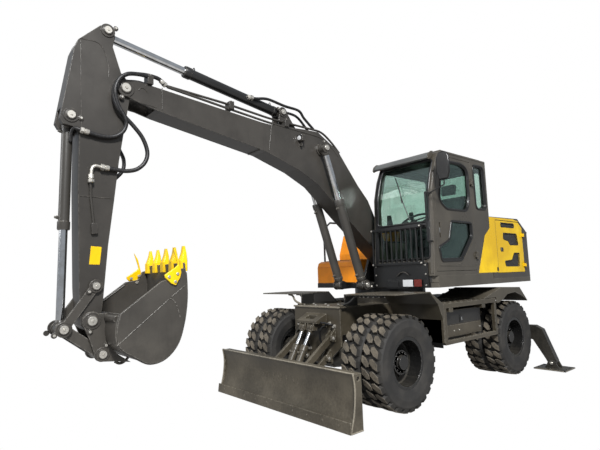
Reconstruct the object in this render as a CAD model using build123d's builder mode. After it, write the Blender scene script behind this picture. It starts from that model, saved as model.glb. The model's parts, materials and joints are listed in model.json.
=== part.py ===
from build123d import *
from math import atan2, cos, hypot, radians, sin, sqrt
import os

# A wheeled excavator with twin tyres, a front dozer blade and two rear outriggers.
# Millimetres; +X towards the boom, +Y to the cab side, +Z up; the origin is on the ground under the
# swing axis. Every piece is modelled where it stands when the machine is parked.

os.makedirs("parts", exist_ok=True)

# ---------------------------------------------------------------- clearances
SEAT = 0.3          # between pieces that seat on each other
RUNNING = 0.3       # radial, round pins and shafts
SIDE_GAP = 6.0      # between moving pieces, side by side on a pin
PIN_SIDES = 12      # flats round a pin, eye or small tube
ROUND = 0           # for a truly round one

# ---------------------------------------------------------------- wheels and axles
LUGS = 14                       # blocks in each of a tyre's two rows, and flats round its carcass
LUG_PITCH = 360 / LUGS
TREAD_R = 530.0                 # to the lugs' outer corners
CARCASS_R = 490.0               # to the middle of a flat
SHOULDER_HALF = 104.0           # half the tread's width
BULGE_HALF = 138.0              # half the tyre's section width
BULGE_DROP = 88.0               # from the carcass's flats in to its widest ring
LUG_LENGTH = 132.0              # round the tyre
LUG_SLANT = 26.0
LUG_INNER = 4.0                 # from the tyre's middle plane
LUG_REACH = (LUG_LENGTH + LUG_SLANT) / 2
LUG_TOP_R = sqrt(TREAD_R**2 - LUG_REACH**2)
TWIN_SPACING = 300.0
TWIN_Y = 962.0                  # middle of a pair of tyres
RIM_SIDES = 2 * LUGS            # the rim seats on the middle of each of the tyre's flats
RIM_R = 291.0
RIM_HALF = 107.0
DISH_R = 250.0
DISH_DEPTH = 185.0
HUB_R = 132.0
HUB_LENGTH = 95.0
CAP_R = 78.0
CAP_LENGTH = 38.0
RECESS_DEPTH = 150.0            # open inner side of a wheel, for knuckle and brake
SPINDLE_R = 60.0
SPINDLE_REACH = 60.0            # into the wheel's web

FRONT_AXLE_X = 1270.0
WHEELBASE = 2580.0
REAR_AXLE_X = FRONT_AXLE_X - WHEELBASE
# each row's nearest lugs stand a quarter pitch either side of straight down
LUG_TURN = radians(LUG_PITCH / 4)
AXLE_Z = LUG_TOP_R * cos(LUG_TURN) + LUG_REACH * sin(LUG_TURN)
WHEEL_HALF = TWIN_SPACING / 2 + RIM_HALF        # half the rim pair's length
WHEEL_INNER_Y = TWIN_Y - WHEEL_HALF
WEB_INNER_Y = WHEEL_INNER_Y + RECESS_DEPTH

KINGPIN_Y = 670.0
KINGPIN_R = 28.0
KNUCKLE_R = 48.0
KNUCKLE_HALF = 75.0
YOKE_R = 54.0
YOKE_T = 46.0
YOKE_WALL_R = 36.0                 # half the yoke wall, which the steering arm swings past
ARM_REACH = 240.0               # steering arm, behind the kingpin
ARM_Z = AXLE_Z - 55.0
ARM_T = 26.0
ARM_EYE_R = 26.0
TIE_R = 19.0
DIFF_R = 165.0                  # half its length along the machine
DIFF_HALF_Y = 150.0
BEAM_R = 68.0

# ---------------------------------------------------------------- chassis
FRAME_HALF = 390.0
FRAME_TOP = 1120.0
FRAME_LOW = 640.0
FRAME_WALL = 25.0
ARCH_Z = 790.0
ARCH_HALF = 225.0
FRONT_X = 1480.0                # front plate's rear face
FRONT_T = 25.0
FRONT_HALF = 430.0
FRONT_LOW = 500.0
REAR_X = -1840.0
REAR_LOW = 560.0
RING_SEAT_R = 560.0
RING_SEAT_TOP = 1190.0
RING_R = 520.0
RING_BORE = 400.0
RING_H = 55.0

# blade: two pairs of parallel links carry it upright, two cylinders side by side lift it
LINK_RUN = 490.0                # from a link's chassis pin to its blade pin
LINK_DROP = 340.0
UPPER_PIN = (1550.0, 760.0)     # x, z on the chassis
LINK_SPREAD = 250.0             # lower pins below upper pins
UPPER_LINK_Y = 290.0
LOWER_LINK_Y = 205.0
LINK_T = 40.0
LINK_R = 38.0
LINK_PIN_R = 22.0
EAR_T = 20.0
BLADE_HALF = 1235.0
BLADE_EDGE_X = 2235.0
BLADE_TOP_X = 2165.0
BLADE_H = 553.0
BLADE_SAG = 70.0                # how far the mouldboard's curve hollows
BLADE_T = 16.0
BLADE_BACK_X = 2052.0
TIE_DOWN_R = 22.0               # hole in each end plate
TIE_DOWN_INSET = 48.0
LIFT_PIN = (1660.0, 880.0)      # x, z of the lift cylinders' pin on the chassis
LIFT_FOOT = (1985.0, 330.0)     # and on the blade
LIFT_Y = 75.0
LIFT_BARREL = (400.0, 46.0)     # length from its pin, radius
LIFT_ROD = (330.0, 25.0)        # length from its eye, radius
LIFT_EYE_HALF = 35.0

# outriggers at the rear: legs that swing down sideways between two plates, each with a foot on a pin
BEAM_FRONT_X = REAR_X - 30.0
BEAM_REAR_X = -2087.0
BEAM_T = 25.0
LEG_X = (BEAM_REAR_X + 10.0, BEAM_REAR_X + 110.0)
LEG_PIN = (560.0, 560.0)        # y, z of a leg's pin on the beam
FOOT_PIN = (1440.0, 95.0)       # y, z
LEG_R = 62.0
LEG_PIN_R = 32.0
FOOT_HALF_Y = 225.0
FOOT_HALF_X = 190.0
FOOT_T = 18.0
FOOT_PIN_R = 24.0
JACK_X = LEG_X[1] + 52.0
JACK_PIN = (150.0, 1060.0)      # y, z of its cylinder's pin on the beam
JACK_EYE = (1120.0, 585.0)      # y, z of the rod's eye beside the leg
JACK_BARREL = (580.0, 44.0)
JACK_ROD = (600.0, 25.0)
JACK_EYE_HALF = 34.0

# fenders, steps and boxes
SIDE_Y = 1240.0                 # outer faces of fenders, steps, cab and hood
FENDER_TOP = 1290.0
FENDER_T = 14.0
FENDER_INNER_Y = 500.0
STEP_RAIL_Z = (633.0, 680.0)    # low rail
STEP_TOP_Z = (1072.0, 1130.0)
STEP_FRONT_X = 529.0 - SEAT     # seats behind the front fender's mud plate
STEP_REAR_X = -772.0                # clear of the rear tyres' lugs
STEP_WALL = 50.0
STEP_INNER_Y = 700.0
STEP_BOX = (-520.0, 440.0)
STEP_BOX_OUTER_Y = 1130.0
STEP_BOX_LOW = 690.0

# ---------------------------------------------------------------- upper structure
DECK_LOW = 1330.0
DECK_TOP = 1400.0
DECK_REAR_X = -1945.0
TONGUE_X = 735.0                # deck's nose between the boom cylinders
TONGUE_HALF = 290.0
CHEEK_INNER_Y = 144.0           # plates that hold the boom's foot
CHEEK_T = 40.0

COUNTERWEIGHT_TOP = 2100.0
LIFT_EYE_X = -2010.0            # lifting eyes on the counterweight
LIFT_EYE_Y = 700.0
LIFT_EYE_T = 30.0
LIFT_EYE_R = 25.0

CAB_FLOOR_Z = 1475.0
CAB_INNER_Y = 300.0             # cab's wall beside the boom
CAB_WALL = 45.0
CAB_REAR_X = -770.0
CAB_ROOF_Z = 3083.0
# the cab's front, from floor to roof: x, z
CAB_FRONT = ((669, 1475), (639, 1910), (618, 2283), (610, 2535), (537, 2798), (418, 3049), (330, 3083))
PILLAR = 60.0                   # round windows and door
GLASS_T = 6.0
DOOR_REAR_X = -330.0
DOOR_LOW = 1530.0
DOOR_TOP = 3010.0
DOOR_GAP = 6.0
DOOR_HANDLE = (478.0, 1945.0)      # x, z of the handle slot's lower rear corner

HOOD_FRONT_X = -800.0
HOOD_TOP = 2285.0
HOOD_WALL = 30.0
ENGINE_DOOR_X = (-1780.0, -942.0)
ENGINE_DOOR_Z = (1480.0, 2240.0)
LID_X = (-1640.0, -860.0)
LID_HALF = 1080.0
LID_RISE = 12.0                    # the lid stands this far above the roof's front edge
HINGE_OUT = 19.0                   # a hinge's axis stands this far off the wall
HINGE_R = 12.0
HINGE_PIN_R = 7.0
HINGE_LENGTH = 50.0                # a door's knuckle, between two fixed ones of half its length
HINGE_LEAF = 34.0
HINGE_SIDES = 8
CAB_HINGE_Z = (1700.0, 2700.0)
ENGINE_HINGE_Z = (1560.0, 2020.0)
LID_HINGE_Y = (-700.0, 700.0)
TANK_INNER_Y = -330.0
TANK_Z = 2250.0
TOOL_BOX_Z = 1750.0
TOOL_BOX_X = (-215.0, 320.0)

# ---------------------------------------------------------------- boom, arm and bucket: x, z
BOOM_HALF = 138.0
BOOM_FOOT = (150.0, 1720.0)
BOOM_FOOT_PIN_R = 48.0
ARM_PIN = (4002.0, 3389.0)
ARM_PIN_R = 45.0
ARM_HALF = 115.0
FORK_X = 3700.0                 # where the boom's fork round the arm starts
BOOM_CYLINDER_Y = 215.0
BOOM_LAMP = (1790.0, 3225.0)       # work lamp on the left side
BOOM_BARREL_PIN = (830.0, 1380.0)
BOOM_ROD_PIN = (1459.0, 3173.0)
BOOM_BARREL = (1206.0, 62.5)
BOOM_ROD = (1290.0, 42.0)
CYLINDER_EYE_HALF = 45.0
CYLINDER_PIN_R = 36.0
CYLINDER_EAR_T = 20.0
ARM_BARREL_PIN = (2018.0, 3591.0)
ARM_ROD_PIN = (4170.0, 3930.0)
ARM_BARREL = (1325.0, 62.0)
ARM_ROD = (1380.0, 42.0)
BUCKET_BARREL_PIN = (4476.0, 3029.0)
BUCKET_ROD_PIN = (4499.0, 1144.0)
BUCKET_BARREL = (1026.0, 50.0)
BUCKET_ROD = (1040.0, 35.0)
LEVER_PIN = (4246.0, 1499.0)
LEVER_PIN_R = 32.0
LEVER_T = 20.0
LEVER_HALF = 38.0
BUCKET_PIN = (4278.0, 1199.0)
BUCKET_PIN_R = 40.0
LINK_PIN = (4186.0, 902.0)
LINK_PIN_SMALL_R = 34.0
ROD_LINK_HALF = 45.0            # half width of the bucket link's plates, in their plane
BUCKET_EAR_T = 30.0
BUCKET_HALF = 470.0
# outside of the bent wrapper, from its rear top edge round to the lip: x, z
BUCKET_LIP = (3545.0, 1690.0)
BUCKET_WRAPPER = ((4140, 1262), (4172, 1120), (4150, 985), (3895, 807), (3617, 942), (3526, 1340), BUCKET_LIP)
BUCKET_WALL = 22.0
TEETH = 5
TOOTH_PITCH = 198.0
TOOTH_W = 92.0


# ---------------------------------------------------------------- shapes used throughout
def save(part, name):
    part.label = name
    export_step(part, f"parts/{name}.step")
    print(name, len(part.solids()), "solid(s)")


def block(x, y, z, mode=Mode.ADD):
    """A box between two values each of x, y and z."""
    with Locations((sum(x) / 2, sum(y) / 2, sum(z) / 2)):
        Box(x[1] - x[0], y[1] - y[0], z[1] - z[0], mode=mode)


def plate_xz(outline, y, mode=Mode.ADD):
    """A plate with its outline in X and Z, between two values of y."""
    with BuildSketch(Plane.XZ.offset(-y[0])) as face:
        with BuildLine():
            Polyline(*outline, close=True)
        make_face()
    extrude(face.sketch, amount=y[0] - y[1], mode=mode)


def plate_xy(outline, z, mode=Mode.ADD):
    """A plate with its outline in X and Y, between two values of z."""
    with BuildSketch(Plane.XY.offset(z[0])) as face:
        with BuildLine():
            Polyline(*outline, close=True)
        make_face()
    extrude(face.sketch, amount=z[1] - z[0], mode=mode)


def plate_yz(outline, x, mode=Mode.ADD):
    """A plate with its outline in Y and Z, between two values of x."""
    with BuildSketch(Plane.YZ.offset(x[0])) as face:
        with BuildLine():
            Polyline(*outline, close=True)
        make_face()
    extrude(face.sketch, amount=x[1] - x[0], mode=mode)


def shrink(outline, by):
    """The same outline with every side moved in by this much."""
    count = len(outline)
    turn = sum(
        outline[i][0] * outline[(i + 1) % count][1] - outline[(i + 1) % count][0] * outline[i][1]
        for i in range(count)
    )
    side = 1 if turn > 0 else -1
    moved = []
    for i, (x, z) in enumerate(outline):
        back, ahead = outline[i - 1], outline[(i + 1) % count]
        a = Vector(x - back[0], z - back[1]).normalized()
        b = Vector(ahead[0] - x, ahead[1] - z).normalized()
        normal = Vector(-a.Y - b.Y, a.X + b.X).normalized() * side
        reach = by / (normal.X * -a.Y + normal.Y * a.X) * side
        moved.append((x + normal.X * reach, z + normal.Y * reach))
    return moved


def bar(start, end, radius, mode=Mode.ADD, sides=PIN_SIDES):
    """A bar from one point to another: a prism inside its circle, or a hole outside it.
    It is truly round if sides is 0."""
    start, end = Vector(*start), Vector(*end)
    with BuildSketch(Plane(origin=start, z_dir=end - start)) as end_face:
        if sides:
            hole = mode == Mode.SUBTRACT
            # a hole is turned half a flat, so that a pin's corners face its flats
            RegularPolygon(radius, sides, major_radius=not hole, rotation=180 / sides if hole else 0)
        else:
            Circle(radius)
    extrude(end_face.sketch, amount=(end - start).length, mode=mode)


def pin_x(y, z, x, radius, mode=Mode.ADD, sides=PIN_SIDES):
    """A bar along X, between two values of x."""
    bar((x[0], y, z), (x[1], y, z), radius, mode, sides)


def pin_y(x, z, y, radius, mode=Mode.ADD, sides=PIN_SIDES):
    """A bar along Y, between two values of y."""
    bar((x, y[0], z), (x, y[1], z), radius, mode, sides)


def pin_z(x, y, z, radius, mode=Mode.ADD, sides=PIN_SIDES):
    """A bar along Z, between two values of z."""
    bar((x, y, z[0]), (x, y, z[1]), radius, mode, sides)


# ---------------------------------------------------------------- tyres and rims
def ring_prism(sides, apothem, y, mode=Mode.ADD):
    """A regular prism round the Y axis, between two values of y, with a flat towards +X."""
    with BuildSketch(Plane.XZ.offset(-y[0])) as face:
        RegularPolygon(apothem, sides, major_radius=False, rotation=180 / sides)
    extrude(face.sketch, amount=y[0] - y[1], mode=mode)


def build_tyre_pair():
    """Two tyres round the Y axis, each a faceted carcass with two staggered rows of slanted lugs."""
    bead_r = RIM_R + SEAT
    with BuildPart() as one:
        ring_prism(LUGS, CARCASS_R, (-BULGE_HALF, BULGE_HALF))
        rims = one.faces().filter_by(Axis.Y).edges()
        chamfer(rims, BULGE_HALF - SHOULDER_HALF, BULGE_DROP, reference=None)
        ring_prism(LUGS, bead_r, (-BULGE_HALF, BULGE_HALF), Mode.SUBTRACT)
        for row in (-1, 1):
            for i in range(LUGS):
                turn = (i + row / 4) * LUG_PITCH
                with BuildSketch(Plane.XY.rotated((0, turn, 0)).offset(-LUG_TOP_R)) as top:
                    with BuildLine():
                        Polyline(
                            (LUG_SLANT / 2 - LUG_LENGTH / 2, row * LUG_INNER),
                            (LUG_REACH, row * LUG_INNER),
                            (LUG_LENGTH / 2 - LUG_SLANT / 2, row * SHOULDER_HALF),
                            (-LUG_REACH, row * SHOULDER_HALF),
                            close=True,
                        )
                    make_face()
                extrude(top.sketch, amount=LUG_TOP_R - CARCASS_R * 0.97)
    with BuildPart() as pair:
        with Locations((0, -TWIN_SPACING / 2, 0), (0, TWIN_SPACING / 2, 0)):
            add(one.part)
    return pair.part


def build_rim_pair():
    """Two rims on one hub round the Y axis; +Y is the outer side."""
    dish_floor = WHEEL_HALF - DISH_DEPTH
    recess_floor = RECESS_DEPTH - WHEEL_HALF
    hub_end = dish_floor + HUB_LENGTH
    with BuildPart() as rim:
        ring_prism(RIM_SIDES, RIM_R, (-WHEEL_HALF, WHEEL_HALF))
        ring_prism(RIM_SIDES, DISH_R, (dish_floor, WHEEL_HALF), Mode.SUBTRACT)
        ring_prism(RIM_SIDES, DISH_R, (-WHEEL_HALF, recess_floor), Mode.SUBTRACT)
        ring_prism(RIM_SIDES, HUB_R, (dish_floor, hub_end))
        ring_prism(RIM_SIDES, CAP_R, (hub_end, hub_end + CAP_LENGTH))
        bore = (recess_floor, recess_floor + SPINDLE_REACH + SIDE_GAP)
        pin_y(0, 0, bore, SPINDLE_R + RUNNING, Mode.SUBTRACT)
    return rim.part


CORNERS = (
    # name, x of the axle, side (+1 left, -1 right)
    ("front_left", FRONT_AXLE_X, 1),
    ("front_right", FRONT_AXLE_X, -1),
    ("rear_left", REAR_AXLE_X, 1),
    ("rear_right", REAR_AXLE_X, -1),
)
tyre_pair = build_tyre_pair()
rim_pair = build_rim_pair()
for corner, axle_x, side in CORNERS:
    place = Location((axle_x, side * TWIN_Y, AXLE_Z), (0, 0, 0 if side > 0 else 180))
    for piece, kind in ((tyre_pair, "tyres"), (rim_pair, "rims")):
        with BuildPart() as wheel:
            with Locations(place):
                add(piece)
        save(wheel.part, f"{kind}_{corner}")


# ---------------------------------------------------------------- chassis frame
def build_frame():
    """Welded box frame: arched side plates, front plate with ears, ring seat and outrigger beam."""
    lift_x, lift_z = LIFT_PIN
    with BuildPart() as frame:
        plate_xz(
            (
                (REAR_X, REAR_LOW),
                (REAR_AXLE_X - ARCH_HALF - 60, REAR_LOW),
                (REAR_AXLE_X - ARCH_HALF, ARCH_Z),
                (REAR_AXLE_X + ARCH_HALF, ARCH_Z),
                (REAR_AXLE_X + ARCH_HALF + 80, FRAME_LOW),
                (FRONT_AXLE_X - ARCH_HALF - 80, FRAME_LOW),
                (FRONT_AXLE_X - ARCH_HALF, ARCH_Z),
                (FRONT_X, ARCH_Z),
                (FRONT_X, FRAME_TOP),
                (REAR_X, FRAME_TOP),
            ),
            (-FRAME_HALF, FRAME_HALF),
        )
        middle = (REAR_AXLE_X + ARCH_HALF + 80, FRONT_AXLE_X - ARCH_HALF - 80)
        inner_y = (FRAME_WALL - FRAME_HALF, FRAME_HALF - FRAME_WALL)
        block(middle, inner_y, (FRAME_LOW - 1, FRAME_TOP - FRAME_WALL), Mode.SUBTRACT)
        block((-300, 100), (-FRAME_HALF, FRAME_HALF), (FRAME_TOP - 240, FRAME_TOP - FRAME_WALL))
        pin_z(0, 0, (FRAME_TOP - FRAME_WALL, RING_SEAT_TOP), RING_SEAT_R, sides=RIM_SIDES)
        plate_yz(
            (
                (-FRONT_HALF, FRAME_TOP),
                (-FRONT_HALF, 660),
                (-UPPER_LINK_Y + 45, FRONT_LOW),
                (-UPPER_LINK_Y + 45, FRONT_LOW - 60),
                (UPPER_LINK_Y - 45, FRONT_LOW - 60),
                (UPPER_LINK_Y - 45, FRONT_LOW),
                (FRONT_HALF, 660),
                (FRONT_HALF, FRAME_TOP),
            ),
            (FRONT_X, FRONT_X + FRONT_T),
        )
        lip = FRONT_HALF + 12
        block((FRONT_X - 330, FRONT_X + FRONT_T + 12), (-lip, lip), (FRAME_TOP, FRAME_TOP + 16))
        # ears that hold the blade's links
        for y, z in (
            (UPPER_LINK_Y, UPPER_PIN[1]),
            (LOWER_LINK_Y, UPPER_PIN[1] - LINK_SPREAD),
        ):
            for side in (-1, 1):
                for edge in (-1, 1):
                    middle_y = side * y + edge * (LINK_T / 2 + SIDE_GAP + EAR_T / 2)
                    plate_xz(
                        (
                            (FRONT_X, z - 60),
                            (UPPER_PIN[0] + LINK_R, z - 25),
                            (UPPER_PIN[0] + LINK_R, z + 30),
                            (FRONT_X, z + 140),
                        ),
                        (middle_y - EAR_T / 2, middle_y + EAR_T / 2),
                    )
                pin_half = LINK_T / 2 + SIDE_GAP + EAR_T + 10
                pin_y(UPPER_PIN[0], z, (side * y - pin_half, side * y + pin_half), LINK_PIN_R)
        # bracket over the lift cylinders, with a towing eye through it
        plate_xz(
            (
                (FRONT_X, 850),
                (lift_x - 40, 935),
                (lift_x + 20, 935),
                (lift_x + 20, 965),
                (FRONT_X, 1060),
            ),
            (-185, 185),
        )
        with Locations((lift_x - 65, 0, 980)):
            Box(80, 170, 260, mode=Mode.SUBTRACT)
        for y in (-LIFT_Y, LIFT_Y):
            for edge in (-1, 1):
                middle_y = y + edge * 50
                plate_xz(
                    (
                        (lift_x - 60, 940),
                        (lift_x - 38, lift_z - 30),
                        (lift_x + 36, lift_z - 30),
                        (lift_x + 20, 940),
                    ),
                    (middle_y - 9, middle_y + 9),
                )
        # two plates behind the frame carry the outriggers between them
        beam = (
            (-LEG_PIN[0] - 75, LEG_PIN[1] - 75),
            (LEG_PIN[0] + 75, LEG_PIN[1] - 75),
            (LEG_PIN[0] + 75, LEG_PIN[1] + 75),
            (JACK_PIN[0] + 140, JACK_PIN[1] + 75),
            (-JACK_PIN[0] - 140, JACK_PIN[1] + 75),
            (-LEG_PIN[0] - 75, LEG_PIN[1] + 75),
        )
        plate_yz(beam, (BEAM_FRONT_X, REAR_X))
        plate_yz(beam, (BEAM_REAR_X - BEAM_T, BEAM_REAR_X))
        tie_z = (JACK_PIN[1] + 60, JACK_PIN[1] + 75)
        block((BEAM_REAR_X, BEAM_FRONT_X), (-JACK_PIN[0] - 140, JACK_PIN[0] + 140), tie_z)
        for side in (-1, 1):
            through = (BEAM_REAR_X, BEAM_FRONT_X)
            pin_x(side * LEG_PIN[0], LEG_PIN[1], through, LEG_PIN_R)
            pin_x(side * JACK_PIN[0], JACK_PIN[1], through, FOOT_PIN_R)
    return frame.part


save(build_frame(), "frame")


# ---------------------------------------------------------------- axles, knuckles and driveline
def build_axle(x, steered):
    """Axle beam with its differential; a steered one ends in yokes, the other in spindles."""
    end_y = KINGPIN_Y - YOKE_R if steered else WHEEL_INNER_Y - SIDE_GAP
    ear_z = KNUCKLE_HALF + SIDE_GAP
    with BuildPart() as axle:
        pin_y(x, AXLE_Z, (-end_y, end_y), BEAM_R)
        bevel = DIFF_R * 0.42
        plate_xz(
            (
                (x - DIFF_R, AXLE_Z - DIFF_R + bevel),
                (x - DIFF_R + bevel, AXLE_Z - DIFF_R),
                (x + DIFF_R - bevel, AXLE_Z - DIFF_R),
                (x + DIFF_R, AXLE_Z - DIFF_R + bevel),
                (x + DIFF_R, AXLE_Z + DIFF_R - bevel),
                (x + DIFF_R - bevel, AXLE_Z + DIFF_R),
                (x - DIFF_R + bevel, AXLE_Z + DIFF_R),
                (x - DIFF_R, AXLE_Z + DIFF_R - bevel),
            ),
            (-DIFF_HALF_Y, DIFF_HALF_Y),
        )
        block((x - 90, x + 90), (-110, 110), (AXLE_Z + DIFF_R - 5, ARCH_Z))
        for side in (-1, 1):
            if steered:
                y = side * KINGPIN_Y
                inner = side * (end_y - 40)
                for up in (-1, 1):
                    z = sorted((AXLE_Z + up * ear_z, AXLE_Z + up * (ear_z + YOKE_T)))
                    pin_z(x, y, z, YOKE_R)
                    block((x - YOKE_R, x + YOKE_R), sorted((inner, y)), z)
                wall = sorted((inner, side * (end_y + 10 - SIDE_GAP)))
                height = ear_z + YOKE_T
                block((x - YOKE_WALL_R, x + YOKE_WALL_R), wall, (AXLE_Z - height, AXLE_Z + height))
                hole = (AXLE_Z - height, AXLE_Z + height)
                pin_z(x, y, hole, KINGPIN_R + RUNNING, Mode.SUBTRACT)
                pin_z(x, y, (AXLE_Z - ear_z, AXLE_Z + ear_z), KNUCKLE_R + SIDE_GAP, Mode.SUBTRACT)
            else:
                reach = WEB_INNER_Y + SPINDLE_REACH
                pin_y(x, AXLE_Z, sorted((side * end_y, side * reach)), SPINDLE_R)
                drum = sorted((side * end_y, side * (WEB_INNER_Y - SIDE_GAP)))
                pin_y(x, AXLE_Z, drum, SPINDLE_R + 70)
    return axle.part


def build_knuckle():
    """Left knuckle: kingpin and barrel, spindle outwards, steering arm to the rear."""
    x, y = FRONT_AXLE_X, KINGPIN_Y
    ends = KNUCKLE_HALF + SIDE_GAP + YOKE_T - 2
    with BuildPart() as knuckle:
        pin_z(x, y, (AXLE_Z - KNUCKLE_HALF, AXLE_Z + KNUCKLE_HALF), KNUCKLE_R)
        pin_z(x, y, (AXLE_Z - ends, AXLE_Z + ends), KINGPIN_R)
        pin_y(x, AXLE_Z, (y, WEB_INNER_Y - SIDE_GAP), SPINDLE_R + 14)
        pin_y(x, AXLE_Z, (WHEEL_INNER_Y + 40, WEB_INNER_Y - SIDE_GAP), SPINDLE_R + 75)
        pin_y(x, AXLE_Z, (y, WEB_INNER_Y + SPINDLE_REACH), SPINDLE_R)
        arm_z = (ARM_Z - ARM_T / 2, ARM_Z + ARM_T / 2)
        block((x - ARM_REACH, x - KNUCKLE_R + 12), (y - 22, y + 22), arm_z)
        pin_z(x - ARM_REACH, y, arm_z, ARM_EYE_R)
    return knuckle.part


save(build_axle(FRONT_AXLE_X, True), "front_axle")
save(build_axle(REAR_AXLE_X, False), "rear_axle")
knuckle_left = build_knuckle()
save(knuckle_left, "knuckle_left")
save(knuckle_left.mirror(Plane.XZ), "knuckle_right")

with BuildPart() as tie_rod:
    tie_x = FRONT_AXLE_X - ARM_REACH
    tie_z = ARM_Z - ARM_T / 2 - RUNNING - TIE_R
    pin_y(tie_x, tie_z, (-KINGPIN_Y, KINGPIN_Y), TIE_R)
    for side in (-1, 1):
        pin_z(tie_x, side * KINGPIN_Y, (tie_z - TIE_R - 4, tie_z + TIE_R), ARM_EYE_R)
save(tie_rod.part, "tie_rod")

with BuildPart() as driveline:
    shaft_z = AXLE_Z + 10
    block((-330, 130), (-170, 170), (FRAME_LOW - 160, FRAME_TOP - 240))
    bar((130, 0, shaft_z), (FRONT_AXLE_X - DIFF_R, 0, shaft_z), 42)
    bar((-330, 0, shaft_z), (REAR_AXLE_X + DIFF_R, 0, shaft_z), 42)
save(driveline.part, "driveline")

# ---------------------------------------------------------------- swing ring, lower half
with BuildPart() as ring_lower:
    ring_z = (RING_SEAT_TOP, RING_SEAT_TOP + RING_H)
    pin_z(0, 0, ring_z, RING_R, sides=RIM_SIDES)
    pin_z(0, 0, ring_z, RING_BORE, Mode.SUBTRACT, RIM_SIDES)
save(ring_lower.part, "swing_ring_lower")


# ---------------------------------------------------------------- blade and its linkage
def link_end(pin):
    """Where a link from this chassis pin (x, z) holds the blade."""
    return (pin[0] + LINK_RUN, pin[1] - LINK_DROP)


def build_links(pin, spread):
    """A pair of equal links, one each side, joined by a cross tube."""
    end = link_end(pin)
    with BuildPart() as links:
        for side in (-1, 1):
            y = (side * spread - LINK_T / 2, side * spread + LINK_T / 2)
            for x, z in (pin, end):
                pin_y(x, z, y, LINK_R)
            slope = atan2(-LINK_DROP, LINK_RUN)
            across = (-sin(slope) * LINK_R, cos(slope) * LINK_R)
            plate_xz(
                (
                    (pin[0] + across[0], pin[1] + across[1]),
                    (pin[0] - across[0], pin[1] - across[1]),
                    (end[0] - across[0], end[1] - across[1]),
                    (end[0] + across[0], end[1] + across[1]),
                ),
                y,
            )
            for x, z in (pin, end):
                pin_y(x, z, (y[0] - 1, y[1] + 1), LINK_PIN_R + RUNNING, Mode.SUBTRACT)
    return links.part


LOWER_PIN = (UPPER_PIN[0], UPPER_PIN[1] - LINK_SPREAD)
save(build_links(UPPER_PIN, UPPER_LINK_Y), "blade_links_upper")
save(build_links(LOWER_PIN, LOWER_LINK_Y), "blade_links_lower")


def build_blade():
    """Mouldboard with a hollow face, cutting edge, end plates, and ears for links and cylinders."""
    with BuildPart() as blade:
        with BuildSketch(Plane.XZ.offset(BLADE_HALF)):
            with BuildLine():
                middle = ((BLADE_TOP_X + BLADE_EDGE_X) / 2 - BLADE_SAG, BLADE_H / 2)
                ThreePointArc((BLADE_TOP_X, BLADE_H), middle, (BLADE_EDGE_X, 12))
                Line((BLADE_EDGE_X, 12), (BLADE_EDGE_X, 0))
                Line((BLADE_EDGE_X, 0), (BLADE_EDGE_X - 40, 0))
                back = (middle[0] - BLADE_T, middle[1])
                ThreePointArc((BLADE_EDGE_X - 40, 0), back, (BLADE_TOP_X - BLADE_T, BLADE_H))
                Line((BLADE_TOP_X - BLADE_T, BLADE_H), (BLADE_TOP_X, BLADE_H))
            make_face()
        extrude(amount=-2 * BLADE_HALF)
        for side in (-1, 1):
            y = sorted((side * BLADE_HALF, side * (BLADE_HALF - 14)))
            plate_xz(
                (
                    (BLADE_BACK_X, BLADE_H),
                    (BLADE_TOP_X, BLADE_H),
                    (BLADE_TOP_X - 30, BLADE_H * 0.75),
                    (BLADE_EDGE_X - BLADE_SAG, BLADE_H * 0.3),
                    (BLADE_EDGE_X - 8, 0),
                    (BLADE_BACK_X, 0),
                ),
                y,
            )
            tie_x, tie_z = BLADE_BACK_X + TIE_DOWN_INSET, BLADE_H - TIE_DOWN_INSET
            pin_y(tie_x, tie_z, (y[0] - 1, y[1] + 1), TIE_DOWN_R, Mode.SUBTRACT, ROUND)
        # box section along the back, top flange and bottom flange
        block((BLADE_BACK_X, BLADE_TOP_X - 15), (-BLADE_HALF + 14, BLADE_HALF - 14), (BLADE_H - 16, BLADE_H))
        block((BLADE_BACK_X, BLADE_EDGE_X - 60), (-BLADE_HALF + 14, BLADE_HALF - 14), (30, 46))
        for pin, spread in ((UPPER_PIN, UPPER_LINK_Y), (LOWER_PIN, LOWER_LINK_Y)):
            x, z = link_end(pin)
            for side in (-1, 1):
                for edge in (-1, 1):
                    middle_y = side * spread + edge * (LINK_T / 2 + SIDE_GAP + EAR_T / 2)
                    plate_xz(
                        (
                            (x - LINK_R, z - 30),
                            (x - LINK_R, z + 30),
                            (BLADE_BACK_X + 76, z + 95),
                            (BLADE_BACK_X + 76, z - 95),
                        ),
                        (middle_y - EAR_T / 2, middle_y + EAR_T / 2),
                    )
                pin_half = LINK_T / 2 + SIDE_GAP + EAR_T + 6
                pin_y(x, z, (side * spread - pin_half, side * spread + pin_half), LINK_PIN_R)
        x, z = LIFT_FOOT
        for y in (-LIFT_Y, LIFT_Y):
            for edge in (-1, 1):
                middle_y = y + edge * 50
                plate_xz(
                    (
                        (x - 40, z - 25),
                        (x - 40, z + 35),
                        (BLADE_BACK_X + 76, z + 60),
                        (BLADE_BACK_X + 76, z - 60),
                    ),
                    (middle_y - 9, middle_y + 9),
                )
        pin_y(x, z, (-LIFT_Y - 59, LIFT_Y + 59), LINK_PIN_R)
    return blade.part


save(build_blade(), "blade")


# ---------------------------------------------------------------- cylinders
BARREL_SIDES = 16


def axis_point(start, end, along):
    """The point this far from start towards end, all (u, v)."""
    length = hypot(end[0] - start[0], end[1] - start[1])
    return tuple(a + (b - a) * along / length for a, b in zip(start, end))


def in_xz(x, z, y):
    return (x, y, z)


def in_yz(y, z, x):
    return (x, y, z)


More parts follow.
